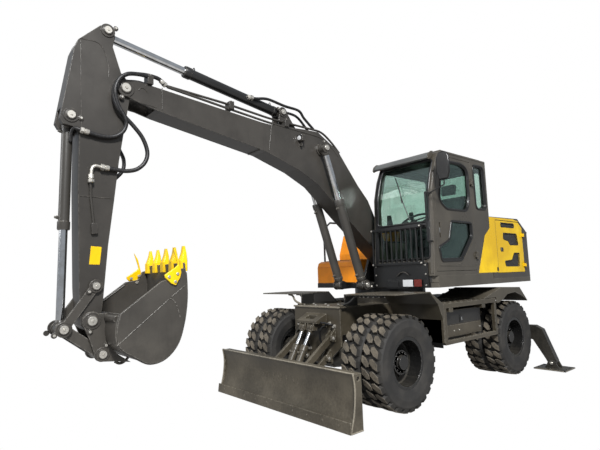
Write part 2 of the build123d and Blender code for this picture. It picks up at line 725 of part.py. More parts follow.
def build_cylinder(foot, eye, barrel, rod, pin_r, eye_half, middles, point=in_xz):
    """Barrels that turn on pins at foot, and their rods up to eye, side by side at these middles."""
    barrel_length, barrel_r = barrel
    rod_length, rod_r = rod
    full = hypot(eye[0] - foot[0], eye[1] - foot[1])
    mouth = axis_point(foot, eye, barrel_length)
    gland = axis_point(foot, eye, barrel_length - barrel_r)
    base = axis_point(foot, eye, barrel_r * 1.35)
    floor = axis_point(foot, eye, barrel_r * 1.35 + 12)
    inner_end = axis_point(foot, eye, full - rod_length)
    past_mouth = axis_point(foot, eye, barrel_length + 1)
    with BuildPart() as barrels:
        for w in middles:
            bar(point(*foot, w - eye_half), point(*foot, w + eye_half), barrel_r * 0.9)
            bar(point(*foot, w), point(*floor, w), eye_half)
            bar(point(*base, w), point(*mouth, w), barrel_r, sides=BARREL_SIDES)
            bar(point(*gland, w), point(*mouth, w), barrel_r * 1.12, sides=BARREL_SIDES)
            bar(point(*floor, w), point(*past_mouth, w), rod_r + RUNNING, Mode.SUBTRACT)
            pin = (point(*foot, w - eye_half - 1), point(*foot, w + eye_half + 1))
            bar(*pin, pin_r + RUNNING, Mode.SUBTRACT)
    with BuildPart() as rods:
        for w in middles:
            bar(point(*inner_end, w), point(*eye, w), rod_r)
            bar(point(*eye, w - eye_half), point(*eye, w + eye_half), rod_r * 1.5)
    return barrels.part, rods.part


lift_barrels, lift_rods = build_cylinder(
    LIFT_FOOT, LIFT_PIN, LIFT_BARREL, LIFT_ROD, LINK_PIN_R, LIFT_EYE_HALF, (-LIFT_Y, LIFT_Y)
)
save(lift_barrels, "blade_cylinder_barrels")
save(lift_rods, "blade_cylinder_rods")


# ---------------------------------------------------------------- outriggers
def build_leg():
    """Left leg: a box-section boomerang from the beam's pin out and down to the foot's pin."""
    (y0, z0), (y1, z1) = LEG_PIN, FOOT_PIN
    with BuildPart() as leg:
        plate_yz(
            (
                (y0 - LEG_R, z0 - LEG_R),
                (y0 - LEG_R, z0 + LEG_R),
                (y1 - 215, z0 + 80),
                (y1 - 108, z0 + 25),
                (y1 + 62, z1 + 35),
                (y1 + 40, z1 - 50),
                (y1 - 42, z1 - 50),
                (y1 - 95, z1 + 55),
                (y1 - 260, z0 - 140),
                (y1 - 440, z0 - 120),
            ),
            LEG_X,
        )
        hole = (LEG_X[0] - 1, LEG_X[1] + 1)
        pin_x(y0, z0, hole, LEG_PIN_R + RUNNING, Mode.SUBTRACT)
        reach = SIDE_GAP + EAR_T + 4
        pin_x(y1, z1, (LEG_X[0] - reach, LEG_X[1] + reach), FOOT_PIN_R)
    return leg.part


def build_foot():
    """Left foot: a pad with turned-up ears on the leg's pin."""
    y, z = FOOT_PIN
    middle_x = sum(LEG_X) / 2
    with BuildPart() as foot:
        pad_x = (middle_x - FOOT_HALF_X, middle_x + FOOT_HALF_X)
        block(pad_x, (y - FOOT_HALF_Y, y + FOOT_HALF_Y), (0, FOOT_T))
        for x in (LEG_X[0] - SIDE_GAP - EAR_T, LEG_X[1] + SIDE_GAP):
            plate_yz(
                ((y - 100, FOOT_T), (y + 100, FOOT_T), (y + 40, z + 42), (y - 40, z + 42)), (x, x + EAR_T)
            )
            pin_x(y, z, (x - 1, x + EAR_T + 1), FOOT_PIN_R + RUNNING, Mode.SUBTRACT)
    return foot.part


jack_barrel, jack_rod = build_cylinder(
    JACK_PIN, JACK_EYE, JACK_BARREL, JACK_ROD, FOOT_PIN_R, JACK_EYE_HALF, (JACK_X,), in_yz
)
for piece, name in (
    (build_leg(), "outrigger_leg"),
    (build_foot(), "outrigger_foot"),
    (jack_barrel, "outrigger_barrel"),
    (jack_rod, "outrigger_rod"),
):
    save(piece, f"{name}_left")
    save(piece.mirror(Plane.XZ), f"{name}_right")


# ---------------------------------------------------------------- fenders and side steps
def build_fenders():
    """Front fenders with a mud plate behind the wheel, and rear fenders over theirs; left side."""
    inner, outer = FENDER_INNER_Y, SIDE_Y
    top, t = FENDER_TOP, FENDER_T
    cheek = (outer - t, outer)
    bracket_y = FRAME_HALF + 14
    with BuildPart() as fenders:
        plate_xz(
            (
                (1450, top),
                (790, top),
                (629, 1142),
                (538, 942),
                (538, 660),
                (552, 660),
                (552, 938),
                (640, 1130),
                (796, top - t),
                (1450, top - t),
            ),
            (inner, outer),
        )
        plate_xz(((800, top - 4), (529, 1129), (529, 660), (545, 660), (545, 940), (634, 1136)), cheek)
        seat_z = FRAME_TOP + 16 + SEAT
        block((1170, 1400), (bracket_y, bracket_y + t), (seat_z, top - t))
        block((1170, 1400), (bracket_y, inner + 20), (top - 2 * t, top - t / 2))
        plate_xz(
            (
                (-470, 1145),
                (-974, 1274),
                (-1545, 1251),
                (-1772, 1042),
                (-1758, 1036),
                (-1540, 1237),
                (-974, 1260),
                (-470, 1131),
            ),
            (inner, outer),
        )
        plate_xz(
            (
                (-470, 1138),
                (-974, 1267),
                (-1545, 1244),
                (-1772, 1042),
                (-1583, 1129),
                (-1395, 1183),
                (-1138, 1166),
                (-1005, 1102),
                (-860, 1060),
                (-810, 1060),
                (-810, 1138),
            ),
            cheek,
        )
        rear_seat = FRAME_TOP + SEAT
        block((-1400, -1000), (bracket_y - 34, bracket_y - 34 + t), (rear_seat, 1250))
        block((-1400, -1000), (bracket_y - 34, inner + 20), (1238, 1250))
    return fenders.part


def build_steps():
    """Left step frame with its tread, and the locker that hangs under its cross beams."""
    rail_y = (SIDE_Y - STEP_WALL, SIDE_Y)
    beam_z = (STEP_TOP_Z[0] - 52, STEP_TOP_Z[0])
    with BuildPart() as steps:
        length = (STEP_REAR_X, STEP_FRONT_X)
        block(length, (STEP_INNER_Y, SIDE_Y), (STEP_TOP_Z[1] - FENDER_T, STEP_TOP_Z[1]))
        block(length, (SIDE_Y - FENDER_T, SIDE_Y), STEP_TOP_Z)
        block(length, rail_y, STEP_RAIL_Z)
        for x in (STEP_REAR_X, STEP_FRONT_X - STEP_WALL):
            block((x, x + STEP_WALL), rail_y, (STEP_RAIL_Z[0], STEP_TOP_Z[1]))
        for x in (-480, 320):
            block((x, x + 80), (FRAME_HALF + SEAT, SIDE_Y - 5), (beam_z[0], STEP_TOP_Z[1] - 5))
            block((x, x + 80), (FRAME_HALF + SEAT, STEP_INNER_Y + 20), (beam_z[0] - 140, beam_z[0] + 5))
            under = (STEP_TOP_Z[0], STEP_TOP_Z[1])
            block((x - 1, x + 81), (FRAME_HALF, STEP_INNER_Y - 60), under, Mode.SUBTRACT)
        block(STEP_BOX, (STEP_INNER_Y, STEP_BOX_OUTER_Y), (STEP_BOX_LOW, beam_z[0] + 5))
    return steps.part


for piece, name in ((build_fenders(), "fenders"), (build_steps(), "side_steps")):
    with BuildPart() as both:
        add(piece)
        mirror(about=Plane.XZ)
    save(both.part, name)


# ---------------------------------------------------------------- upper structure: deck
def build_revolving_frame():
    """Deck with the swing ring's upper half, the boom foot's cheeks and the boom cylinders' ears."""
    ring_top = RING_SEAT_TOP + RING_H
    foot_x, foot_z = BOOM_FOOT
    with BuildPart() as deck:
        pin_z(0, 0, (ring_top + RUNNING, DECK_LOW + 5), RING_R, sides=RIM_SIDES)
        plate_xy(
            (
                (TONGUE_X, TONGUE_HALF),
                (650, TONGUE_HALF),
                (650, 1157),
                (590, SIDE_Y),
                (DECK_REAR_X, SIDE_Y),
                (DECK_REAR_X, -SIDE_Y),
                (320, -SIDE_Y),
                (540, -1010),
                (540, -TONGUE_HALF),
                (TONGUE_X, -TONGUE_HALF),
            ),
            (DECK_LOW, DECK_TOP),
        )
        # raised bed under the cab
        plate_xy(
            (
                (660, CAB_INNER_Y),
                (660, 1157),
                (598, SIDE_Y),
                (CAB_REAR_X, SIDE_Y),
                (CAB_REAR_X, CAB_INNER_Y),
            ),
            (DECK_TOP - 5, CAB_FLOOR_Z - SEAT),
        )
        for side in (-1, 1):
            cheek = sorted((side * CHEEK_INNER_Y, side * (CHEEK_INNER_Y + CHEEK_T)))
            plate_xz(
                (
                    (foot_x - 770, DECK_TOP - 5),
                    (foot_x + 270, DECK_TOP - 5),
                    (foot_x + 150, foot_z - 60),
                    (foot_x + 100, foot_z + 60),
                    (foot_x + 40, foot_z + 105),
                    (foot_x - 40, foot_z + 105),
                    (foot_x - 100, foot_z + 60),
                    (foot_x - 270, foot_z - 120),
                ),
                cheek,
            )
            middle = side * BOOM_CYLINDER_Y
            x, z = BOOM_BARREL_PIN
            for edge in (-1, 1):
                near = middle + edge * (CYLINDER_EYE_HALF + SIDE_GAP)
                far = near + edge * CYLINDER_EAR_T
                plate_xz(
                    (
                        (TONGUE_X - 135, DECK_LOW),
                        (x + 10, z - 57),
                        (x + 58, z - 30),
                        (x + 58, z + 35),
                        (x + 10, z + 62),
                        (x - 50, z + 40),
                        (TONGUE_X - 135, DECK_TOP + 10),
                    ),
                    sorted((near, far)),
                )
            reach = CYLINDER_EYE_HALF + SIDE_GAP + CYLINDER_EAR_T
            pin_y(x, z, (middle - reach, middle + reach), CYLINDER_PIN_R)
        reach = CHEEK_INNER_Y + CHEEK_T + 8
        pin_y(foot_x, foot_z, (-reach, reach), BOOM_FOOT_PIN_R)
    return deck.part


save(build_revolving_frame(), "revolving_frame")

with BuildPart() as counterweight:
    plate_xy(
        (
            (DECK_REAR_X - SEAT, SIDE_Y),
            (-2060, 1030),
            (-2165, 620),
            (-2200, 200),
            (-2200, -200),
            (-2165, -620),
            (-2060, -1030),
            (DECK_REAR_X - SEAT, -SIDE_Y),
        ),
        (DECK_LOW + 20, COUNTERWEIGHT_TOP),
    )
    for y in (-LIFT_EYE_Y, LIFT_EYE_Y):
        x, z = LIFT_EYE_X, COUNTERWEIGHT_TOP + 50
        sides = (y - LIFT_EYE_T / 2, y + LIFT_EYE_T / 2)
        plate_xz(((x - 70, z - 55), (x + 70, z - 55), (x + 45, z + 45), (x - 45, z + 45)), sides)
        pin_y(x, z, (sides[0] - 1, sides[1] + 1), LIFT_EYE_R, Mode.SUBTRACT, ROUND)
save(counterweight.part, "counterweight")

with BuildPart() as engine_block:
    block((-1620, -940), (-760, 560), (DECK_TOP + SEAT, 2120))
save(engine_block.part, "engine_block")


# ---------------------------------------------------------------- hinges of doors and lid
def wall_hinge(x, z, moving, side=1):
    """One half of a hinge on a side wall, its axis upright at x; the moving half is a door's."""
    y = SIDE_Y + HINGE_OUT
    if moving:
        spans = ((z, z + HINGE_LENGTH),)
    else:
        spans = (
            (z - HINGE_LENGTH / 2, z - RUNNING),
            (z + HINGE_LENGTH + RUNNING, z + HINGE_LENGTH * 1.5),
        )
    toward = 1 if moving else -1
    for span in spans:
        pin_z(x, side * y, span, HINGE_R, sides=HINGE_SIDES)
        leaf = sorted((x, x + toward * HINGE_LEAF))
        block(leaf, sorted((side * (y - HINGE_R / 2), side * (y + HINGE_R / 3))), span)
        foot = sorted((x + toward * HINGE_LEAF / 3, x + toward * HINGE_LEAF))
        block(foot, sorted((side * (SIDE_Y - 1), side * y)), span)
    if moving:
        hole = (z - 1, z + HINGE_LENGTH + 1)
        pin_z(x, side * y, hole, HINGE_PIN_R + RUNNING, Mode.SUBTRACT, HINGE_SIDES)
    else:
        pin_z(x, side * y, (spans[0][1] - 1, spans[1][0] + 1), HINGE_PIN_R, sides=HINGE_SIDES)


def lid_hinge(y, moving):
    """One half of a hinge between the hood's roof and its lid, its axis across the machine."""
    x = LID_X[1] + DOOR_GAP / 2
    lid_top = HOOD_TOP + LID_RISE
    z = lid_top + HINGE_OUT
    half = HINGE_LENGTH / 2
    if moving:
        spans = ((y - half, y + half),)
    else:
        spans = ((y - 2 * half, y - half - RUNNING), (y + half + RUNNING, y + 2 * half))
    toward = -1 if moving else 1
    for span in spans:
        pin_y(x, z, span, HINGE_R, sides=HINGE_SIDES)
        block(sorted((x, x + toward * HINGE_LEAF)), span, (z - HINGE_R / 2, z + HINGE_R / 3))
        foot = sorted((x + toward * HINGE_LEAF / 3, x + toward * HINGE_LEAF))
        block(foot, span, (HOOD_TOP - 5, z))
    if moving:
        hole = (y - half - 1, y + half + 1)
        pin_y(x, z, hole, HINGE_PIN_R + RUNNING, Mode.SUBTRACT, HINGE_SIDES)
    else:
        pin_y(x, z, (spans[0][1] - 1, spans[1][0] + 1), HINGE_PIN_R, sides=HINGE_SIDES)


# ---------------------------------------------------------------- hood
def build_housing():
    """Hood round the engine: roof, sides and rear, open below and cut for its doors and lid."""
    y = (-SIDE_Y, SIDE_Y)
    inner_y = (HOOD_WALL - SIDE_Y, SIDE_Y - HOOD_WALL)
    low = DECK_TOP + SEAT
    with BuildPart() as housing:
        plate_xz(
            (
                (HOOD_FRONT_X, low),
                (HOOD_FRONT_X, HOOD_TOP),
                (-1660, HOOD_TOP + 12),
                (-1783, 2209),
                (-1939, 2104),
                (DECK_REAR_X, low),
            ),
            y,
        )
        plate_xz(
            (
                (HOOD_FRONT_X - HOOD_WALL, low - 1),
                (HOOD_FRONT_X - HOOD_WALL, HOOD_TOP - HOOD_WALL),
                (-1650, HOOD_TOP - HOOD_WALL + 12),
                (-1768, 2180),
                (DECK_REAR_X + HOOD_WALL, 2085),
                (DECK_REAR_X + HOOD_WALL, low - 1),
            ),
            inner_y,
            Mode.SUBTRACT,
        )
        gap = DOOR_GAP
        for side in (-1, 1):
            wall = sorted((side * (SIDE_Y - HOOD_WALL - 1), side * (SIDE_Y + 1)))
            plate_xz(engine_door_outline(gap), wall, Mode.SUBTRACT)
            for z in ENGINE_HINGE_Z:
                wall_hinge(ENGINE_DOOR_X[0] - gap / 2, z, False, side)
        lid_x = (LID_X[0] - gap, LID_X[1] + gap)
        lid_y = (-LID_HALF - gap, LID_HALF + gap)
        block(lid_x, lid_y, (HOOD_TOP - HOOD_WALL - 1, HOOD_TOP + 20), Mode.SUBTRACT)
        for y in LID_HINGE_Y:
            lid_hinge(y, False)
    return housing.part


def engine_door_outline(grow):
    """An engine door in X and Z, its rear edge sloping with the hood."""
    rear, front = ENGINE_DOOR_X
    low, top = ENGINE_DOOR_Z
    return (
        (rear - grow, low - grow),
        (front + grow, low - grow),
        (front + grow, top + grow),
        (rear + 110 - grow / 2, top + grow),
        (rear - grow, top - 80 + grow / 2),
    )


def build_engine_door():
    """Left engine door with its three sunk grilles, the latch's recess and its hinges."""
    grilles = (
        ((-1516, 2150), (-1099, 2150), (-1099, 2212), (-1516, 2212)),
        ((-1161, 2061), (-1583, 2060), (-1618, 1891), (-1352, 1886), (-1299, 1945), (-1146, 1971)),
        ((-1461, 1766), (-1628, 1767), (-1600, 1568), (-1169, 1573), (-1151, 1646), (-1376, 1660)),
        ((-1045, 1785), (-1130, 1785), (-1130, 1845), (-1045, 1845)),
    )
    with BuildPart() as door:
        plate_xz(engine_door_outline(0), (SIDE_Y - HOOD_WALL, SIDE_Y))
        for grille in grilles:
            plate_xz(grille, (SIDE_Y - HOOD_WALL + 12, SIDE_Y + 1), Mode.SUBTRACT)
        for z in ENGINE_HINGE_Z:
            wall_hinge(ENGINE_DOOR_X[0] - DOOR_GAP / 2, z, True)
    return door.part


save(build_housing(), "engine_housing")
engine_door = build_engine_door()
save(engine_door, "engine_door_left")
save(engine_door.mirror(Plane.XZ), "engine_door_right")

with BuildPart() as hood_lid:
    block(LID_X, (-LID_HALF, LID_HALF), (HOOD_TOP - 20, HOOD_TOP + LID_RISE))
    for y in LID_HINGE_Y:
        lid_hinge(y, True)
save(hood_lid.part, "hood_lid")

# ---------------------------------------------------------------- tank and tool box beside the boom
with BuildPart() as fuel_tank:
    plate_xz(
        (
            (TOOL_BOX_X[0] - SEAT, DECK_TOP + SEAT),
            (TOOL_BOX_X[0] - SEAT, 1870),
            (-330, TANK_Z - 50),
            (-420, TANK_Z),
            (HOOD_FRONT_X + SEAT, TANK_Z),
            (HOOD_FRONT_X + SEAT, DECK_TOP + SEAT),
        ),
        (-SIDE_Y, TANK_INNER_Y),
    )
save(fuel_tank.part, "fuel_tank")

with BuildPart() as tool_box:
    x0, x1 = TOOL_BOX_X
    plate_xz(
        (
            (x0, DECK_TOP + SEAT),
            (x0, TOOL_BOX_Z),
            (x1 - 90, TOOL_BOX_Z),
            (x1 - 25, TOOL_BOX_Z - 30),
            (x1, TOOL_BOX_Z - 100),
            (x1, DECK_TOP + SEAT),
        ),
        (-SIDE_Y, TANK_INNER_Y),
    )
save(tool_box.part, "tool_box")


# ---------------------------------------------------------------- cab
def front_x(z):
    """The cab front's x at this height."""
    for (x0, z0), (x1, z1) in zip(CAB_FRONT, CAB_FRONT[1:]):
        if z0 <= z <= z1:
            return x0 + (x1 - x0) * (z - z0) / (z1 - z0)
    return CAB_FRONT[-1][0]


def front_band(z0, z1, inset, depth):
    """An outline that follows the cab's front between two heights, this far behind it."""
    heights = [z0] + [point[1] for point in CAB_FRONT if z0 < point[1] < z1] + [z1]
    outer = [(front_x(z) - inset, z) for z in heights]
    return outer + [(x - depth, z) for x, z in reversed(outer)]


def door_outline(grow):
    """The cab door in X and Z; its front edge follows the front pillar."""
    heights = [DOOR_LOW - grow, 1910, 2283, 2535, 2798, DOOR_TOP + grow]
    front = [(front_x(z) - PILLAR + grow, z) for z in heights]
    return [(DOOR_REAR_X - grow, DOOR_LOW - grow)] + front + [(DOOR_REAR_X - grow, DOOR_TOP + grow)]


DOOR_WINDOWS = (
    # upper pane, then lower pane: x, z
    ((362, 2952), (470, 2421), (325, 2316), (-186, 2325), (-260, 2481), (-267, 2901), (-124, 2965)),
    ((228, 2167), (-266, 2165), (-265, 1974), (31, 1664), (496, 1653), (541, 1826), (306, 1919)),
)
SIDE_WINDOW = ((-413, 2990), (-700, 2995), (-710, 2378), (-429, 2369))
RIGHT_WINDOW = ((380, 2930), (520, 2420), (520, 1950), (-680, 1950), (-680, 2960), (330, 2960))
REAR_WINDOW = ((CAB_INNER_Y + 80, 2400), (SIDE_Y - 80, 2400), (SIDE_Y - 80, 2960), (CAB_INNER_Y + 80, 2960))
FRONT_PANES = ((1690, 2085), (2150, 2960))


HEADER_X, HEADER_Z = 320, 2990      # where the inside turns from the front to the roof


def build_cab_shell():
    """Cab shell with its floor and roof, cut for the door and for every window."""
    low = CAB_FLOOR_Z
    outline = CAB_FRONT + ((110, CAB_ROOF_Z), (CAB_REAR_X, CAB_ROOF_Z), (CAB_REAR_X, low))
    back = CAB_REAR_X + CAB_WALL
    roof = CAB_ROOF_Z - CAB_WALL
    # the inside follows the front up to its last corner, then the roof and the back
    heights = [low + CAB_WALL] + [point[1] for point in CAB_FRONT[1:-1]] + [HEADER_Z]
    inside = [(front_x(z) - CAB_WALL, z) for z in heights]
    inside += [(HEADER_X, roof), (back, roof), (back, low + CAB_WALL)]
    right = (CAB_INNER_Y - 1, CAB_INNER_Y + CAB_WALL + 1)
    left = (SIDE_Y - CAB_WALL - 1, SIDE_Y + 1)
    with BuildPart() as shell:
        plate_xz(outline, (CAB_INNER_Y, SIDE_Y))
        plate_xz(inside, (CAB_INNER_Y + CAB_WALL, SIDE_Y - CAB_WALL), Mode.SUBTRACT)
        for z0, z1 in FRONT_PANES:
            width = (CAB_INNER_Y + PILLAR, SIDE_Y - PILLAR)
            plate_xz(front_band(z0, z1, -1, CAB_WALL + 12), width, Mode.SUBTRACT)
        plate_xz(door_outline(DOOR_GAP), left, Mode.SUBTRACT)
        plate_xz(SIDE_WINDOW, left, Mode.SUBTRACT)
        plate_xz(RIGHT_WINDOW, right, Mode.SUBTRACT)
        plate_yz(REAR_WINDOW, (CAB_REAR_X - 1, back + 1), Mode.SUBTRACT)
        for z in CAB_HINGE_Z:
            wall_hinge(DOOR_REAR_X - DOOR_GAP / 2, z, False)
    return shell.part


def build_cab_glass():
    """Panes in the shell's windows, seated just inside their edges."""
    inset = (CAB_WALL - GLASS_T) / 2
    with BuildPart() as glass:
        for z0, z1 in FRONT_PANES:
            width = (CAB_INNER_Y + PILLAR + SEAT, SIDE_Y - PILLAR - SEAT)
            plate_xz(front_band(z0 + SEAT, z1 - SEAT, inset, GLASS_T), width)
        plate_xz(shrink(SIDE_WINDOW, SEAT), (SIDE_Y - inset - GLASS_T, SIDE_Y - inset))
        plate_xz(shrink(RIGHT_WINDOW, SEAT), (CAB_INNER_Y + inset, CAB_INNER_Y + inset + GLASS_T))
        plate_yz(shrink(REAR_WINDOW, SEAT), (CAB_REAR_X + inset, CAB_REAR_X + inset + GLASS_T))
    return glass.part


def build_cab_door():
    """Cab door with its two windows, the slot of its handle and its hinges."""
    with BuildPart() as door:
        plate_xz(door_outline(0), (SIDE_Y - CAB_WALL, SIDE_Y))
        for window in DOOR_WINDOWS:
            plate_xz(window, (SIDE_Y - CAB_WALL - 1, SIDE_Y + 1), Mode.SUBTRACT)
        x, z = DOOR_HANDLE
        block((x, x + 34), (SIDE_Y - CAB_WALL + 12, SIDE_Y + 1), (z, z + 190), Mode.SUBTRACT)
        block((x + 6, x + 28), (SIDE_Y - CAB_WALL + 6, SIDE_Y - 6), (z + 60, z + 130))
        for z in CAB_HINGE_Z:
            wall_hinge(DOOR_REAR_X - DOOR_GAP / 2, z, True)
    return door.part


save(build_cab_shell(), "cab_shell")
save(build_cab_glass(), "cab_glass")
save(build_cab_door(), "cab_door")

with BuildPart() as door_glass:
    pane_y = SIDE_Y - (CAB_WALL - GLASS_T) / 2
    for window in DOOR_WINDOWS:
        plate_xz(shrink(window, SEAT), (pane_y - GLASS_T, pane_y))
save(door_glass.part, "door_glass")

with BuildPart() as cab_interior:
    floor_z = CAB_FLOOR_Z + CAB_WALL + SEAT
    plate_xz(
        (
            (-540, floor_z),
            (-100, floor_z),
            (-100, 1860),
            (-20, 1880),
            (-20, 1990),
            (-470, 1960),
            (-560, 2600),
            (-640, 2600),
            (-580, 1900),
        ),
        (540, 1000),
    )
    for y in ((CAB_INNER_Y + CAB_WALL + SEAT, 520), (1020, SIDE_Y - CAB_WALL - 6)):
        plate_xz(((-540, floor_z), (-60, floor_z), (10, 2120), (-120, 2140), (-540, 2080)), y)
    plate_xz(
        ((430, floor_z), (550, floor_z), (480, 2080), (400, 2210), (360, 2190), (410, 2040)), (730, 810)
    )
save(cab_interior.part, "cab_interior")


GUARD_BARS = 11
GUARD_Y = (CAB_INNER_Y + 10, 1110.0)
GUARD_BAR = 16.0
LAMP_BAR_Z = (1325.0, 1435.0)


def build_cab_guard():
    """Bar guard in front of the lower windscreen, and the black front panel with its lamps below it."""
    y0, y1 = GUARD_Y
    x = front_x(1660) + SEAT
    panel_x = CAB_FRONT[0][0] + SEAT
    with BuildPart() as guard:
        plate_xz(
            (
                (panel_x, DECK_TOP - 60),
                (panel_x + 26, DECK_TOP - 60),
                (panel_x + 26, 1640),
                (panel_x, 1640),
            ),
            (y0, 1157),
        )
        lamp_x = panel_x + 26
        block((lamp_x - 1, lamp_x + 14), (540, 860), LAMP_BAR_Z)
        for y in ((560, 720), (735, 845)):
            block((lamp_x, lamp_x + 22), y, (LAMP_BAR_Z[0] + 17, LAMP_BAR_Z[1] - 17))
        for z in (1625, 2085):
            block((x + 26, x + 62), GUARD_Y, (z, z + 30))
        step = (y1 - y0 - GUARD_BAR) / (GUARD_BARS - 1)
        for i in range(GUARD_BARS):
            y = y0 + i * step
            block((x + 34, x + 34 + GUARD_BAR), (y, y + GUARD_BAR), (1640, 2100))
        for y in (y0, y1 - 30):
            block((front_x(2095) + SEAT + 4, x + 40), (y, y + 30), (2088, 2112))
    return guard.part


save(build_cab_guard(), "cab_guard")


# ---------------------------------------------------------------- rails and mirrors
def rail(points, radius):
    """A bent rail through these points."""
    for start, end in zip(points, points[1:]):
        bar(start, end, radius, sides=6)


GRAB_X, GRAB_Y = CAB_FRONT[0][0] + 66, SIDE_Y - 22      # the upright grab rail by the door
GRAB_Z = (1900.0, 2500.0)
GRAB_R = 12.0
MIRROR_X = GRAB_X - 100                                  # clear of the door's front edge as it opens
MIRROR_Y = (SIDE_Y + 110, SIDE_Y + 270)
MIRROR_Z = (2640.0, 2970.0)
HAND_RAIL_X, HAND_RAIL_Y = TOOL_BOX_X[1] - 130, -SIDE_Y + 50
HAND_RAIL_TOP = 2420.0
HAND_RAIL_R = 16.0

with BuildPart() as rails:
    low, top = GRAB_Z
    rail(
        (
            (front_x(low) + 1, GRAB_Y, low),
            (GRAB_X, GRAB_Y, low),
            (GRAB_X, GRAB_Y, top),
            (front_x(top) + 1, GRAB_Y, top),
        ),
        GRAB_R,
    )
    # the mirror stands on an arm that rises from the grab rail; its glass faces backwards
    arm_y = sum(MIRROR_Y) / 2
    arm_top = sum(MIRROR_Z) / 2
    elbow = (MIRROR_X, arm_y, top + 70)
    rail(((GRAB_X, GRAB_Y, top - 40), elbow, (MIRROR_X, arm_y, arm_top)), GRAB_R - 3)
    plate_yz(
        (
            (MIRROR_Y[0] + 30, MIRROR_Z[0]),
            (MIRROR_Y[1] - 30, MIRROR_Z[0]),
            (MIRROR_Y[1], MIRROR_Z[0] + 70),
            (MIRROR_Y[1], MIRROR_Z[1] - 50),
            (MIRROR_Y[1] - 40, MIRROR_Z[1]),
            (MIRROR_Y[0] + 40, MIRROR_Z[1]),
            (MIRROR_Y[0], MIRROR_Z[1] - 50),
            (MIRROR_Y[0], MIRROR_Z[0] + 70),
        ),
        (MIRROR_X - 16, MIRROR_X + 16),
    )
    rail(
        (
            (HAND_RAIL_X, HAND_RAIL_Y, TOOL_BOX_Z + SEAT),
            (HAND_RAIL_X, HAND_RAIL_Y, HAND_RAIL_TOP - 120),
            (HAND_RAIL_X - 150, HAND_RAIL_Y, HAND_RAIL_TOP),
            (-330, HAND_RAIL_Y, HAND_RAIL_TOP),
            (-430, HAND_RAIL_Y, HAND_RAIL_TOP - 80),
            (-430, HAND_RAIL_Y, TANK_Z + SEAT),
        ),
        HAND_RAIL_R,
    )
save(rails.part, "rails")


# ---------------------------------------------------------------- boom
def build_boom():
    """Box-section boom, forked at its tip, with bosses and ears for its cylinders."""
    foot_x, foot_z = BOOM_FOOT
    with BuildPart() as boom:
        plate_xz(
            (
                (foot_x - 90, foot_z - 30),
                (foot_x - 40, foot_z - 85),
                (foot_x + 45, foot_z - 85),
                (foot_x + 95, foot_z - 25),
                (1042, 2324),
                (1519, 2712),
                (1851, 2867),
                (2341, 3021),
                (3652, 3227),
                (4001, 3309),
                (4062, 3360),
                (4055, 3430),
                (3990, 3480),
                (3876, 3487),
                (3641, 3470),
                (2301, 3359),
                (1744, 3403),
                (1482, 3412),
                (1122, 3212),
                (751, 2767),
                (555, 2570),
            ),
            (-BOOM_HALF, BOOM_HALF),
        )
        slot_half = ARM_HALF + SIDE_GAP
        block((FORK_X, 4100), (-slot_half, slot_half), (3100, 3600), Mode.SUBTRACT)
        reach = BOOM_HALF + 16
        pin_y(*ARM_PIN, (-reach, reach), ARM_PIN_R)
        hole = (-BOOM_HALF - 1, BOOM_HALF + 1)
        pin_y(*BOOM_FOOT, hole, BOOM_FOOT_PIN_R + RUNNING, Mode.SUBTRACT)
        boss = BOOM_CYLINDER_Y - CYLINDER_EYE_HALF - SIDE_GAP
        pin_y(*BOOM_ROD_PIN, (-boss, boss), 78)
        x, z = ARM_BARREL_PIN
        ear = CYLINDER_EYE_HALF + SIDE_GAP
        for side in (-1, 1):
            plate_xz(
                ((x - 230, 3380), (x + 70, 3360), (x + 52, z + 32), (x, z + 58), (x - 50, z + 30)),
                sorted((side * ear, side * (ear + CYLINDER_EAR_T + 4))),
            )
        reach = ear + CYLINDER_EAR_T + 10
        pin_y(x, z, (-reach, reach), CYLINDER_PIN_R)
        lamp_x, lamp_z = BOOM_LAMP
        block((lamp_x, lamp_x + 22), (BOOM_HALF - 1, BOOM_HALF + 45), (lamp_z - 60, lamp_z + 5))
        block((lamp_x - 12, lamp_x + 40), (BOOM_HALF + 12, BOOM_HALF + 82), (lamp_z, lamp_z + 78))
    return boom.part


save(build_boom(), "boom")

barrels, rods = build_cylinder(
    BOOM_BARREL_PIN, BOOM_ROD_PIN, BOOM_BARREL, BOOM_ROD, CYLINDER_PIN_R, CYLINDER_EYE_HALF,
    (-BOOM_CYLINDER_Y, BOOM_CYLINDER_Y),
)
save(barrels, "boom_cylinder_barrels")
save(rods, "boom_cylinder_rods")
barrels, rods = build_cylinder(
    ARM_BARREL_PIN, ARM_ROD_PIN, ARM_BARREL, ARM_ROD, CYLINDER_PIN_R, CYLINDER_EYE_HALF, (0,)
)
save(barrels, "arm_cylinder_barrel")
save(rods, "arm_cylinder_rod")
barrels, rods = build_cylinder(
    BUCKET_BARREL_PIN, BUCKET_ROD_PIN, BUCKET_BARREL, BUCKET_ROD, CYLINDER_PIN_R, CYLINDER_EYE_HALF, (0,)
)
save(barrels, "bucket_cylinder_barrel")
save(rods, "bucket_cylinder_rod")


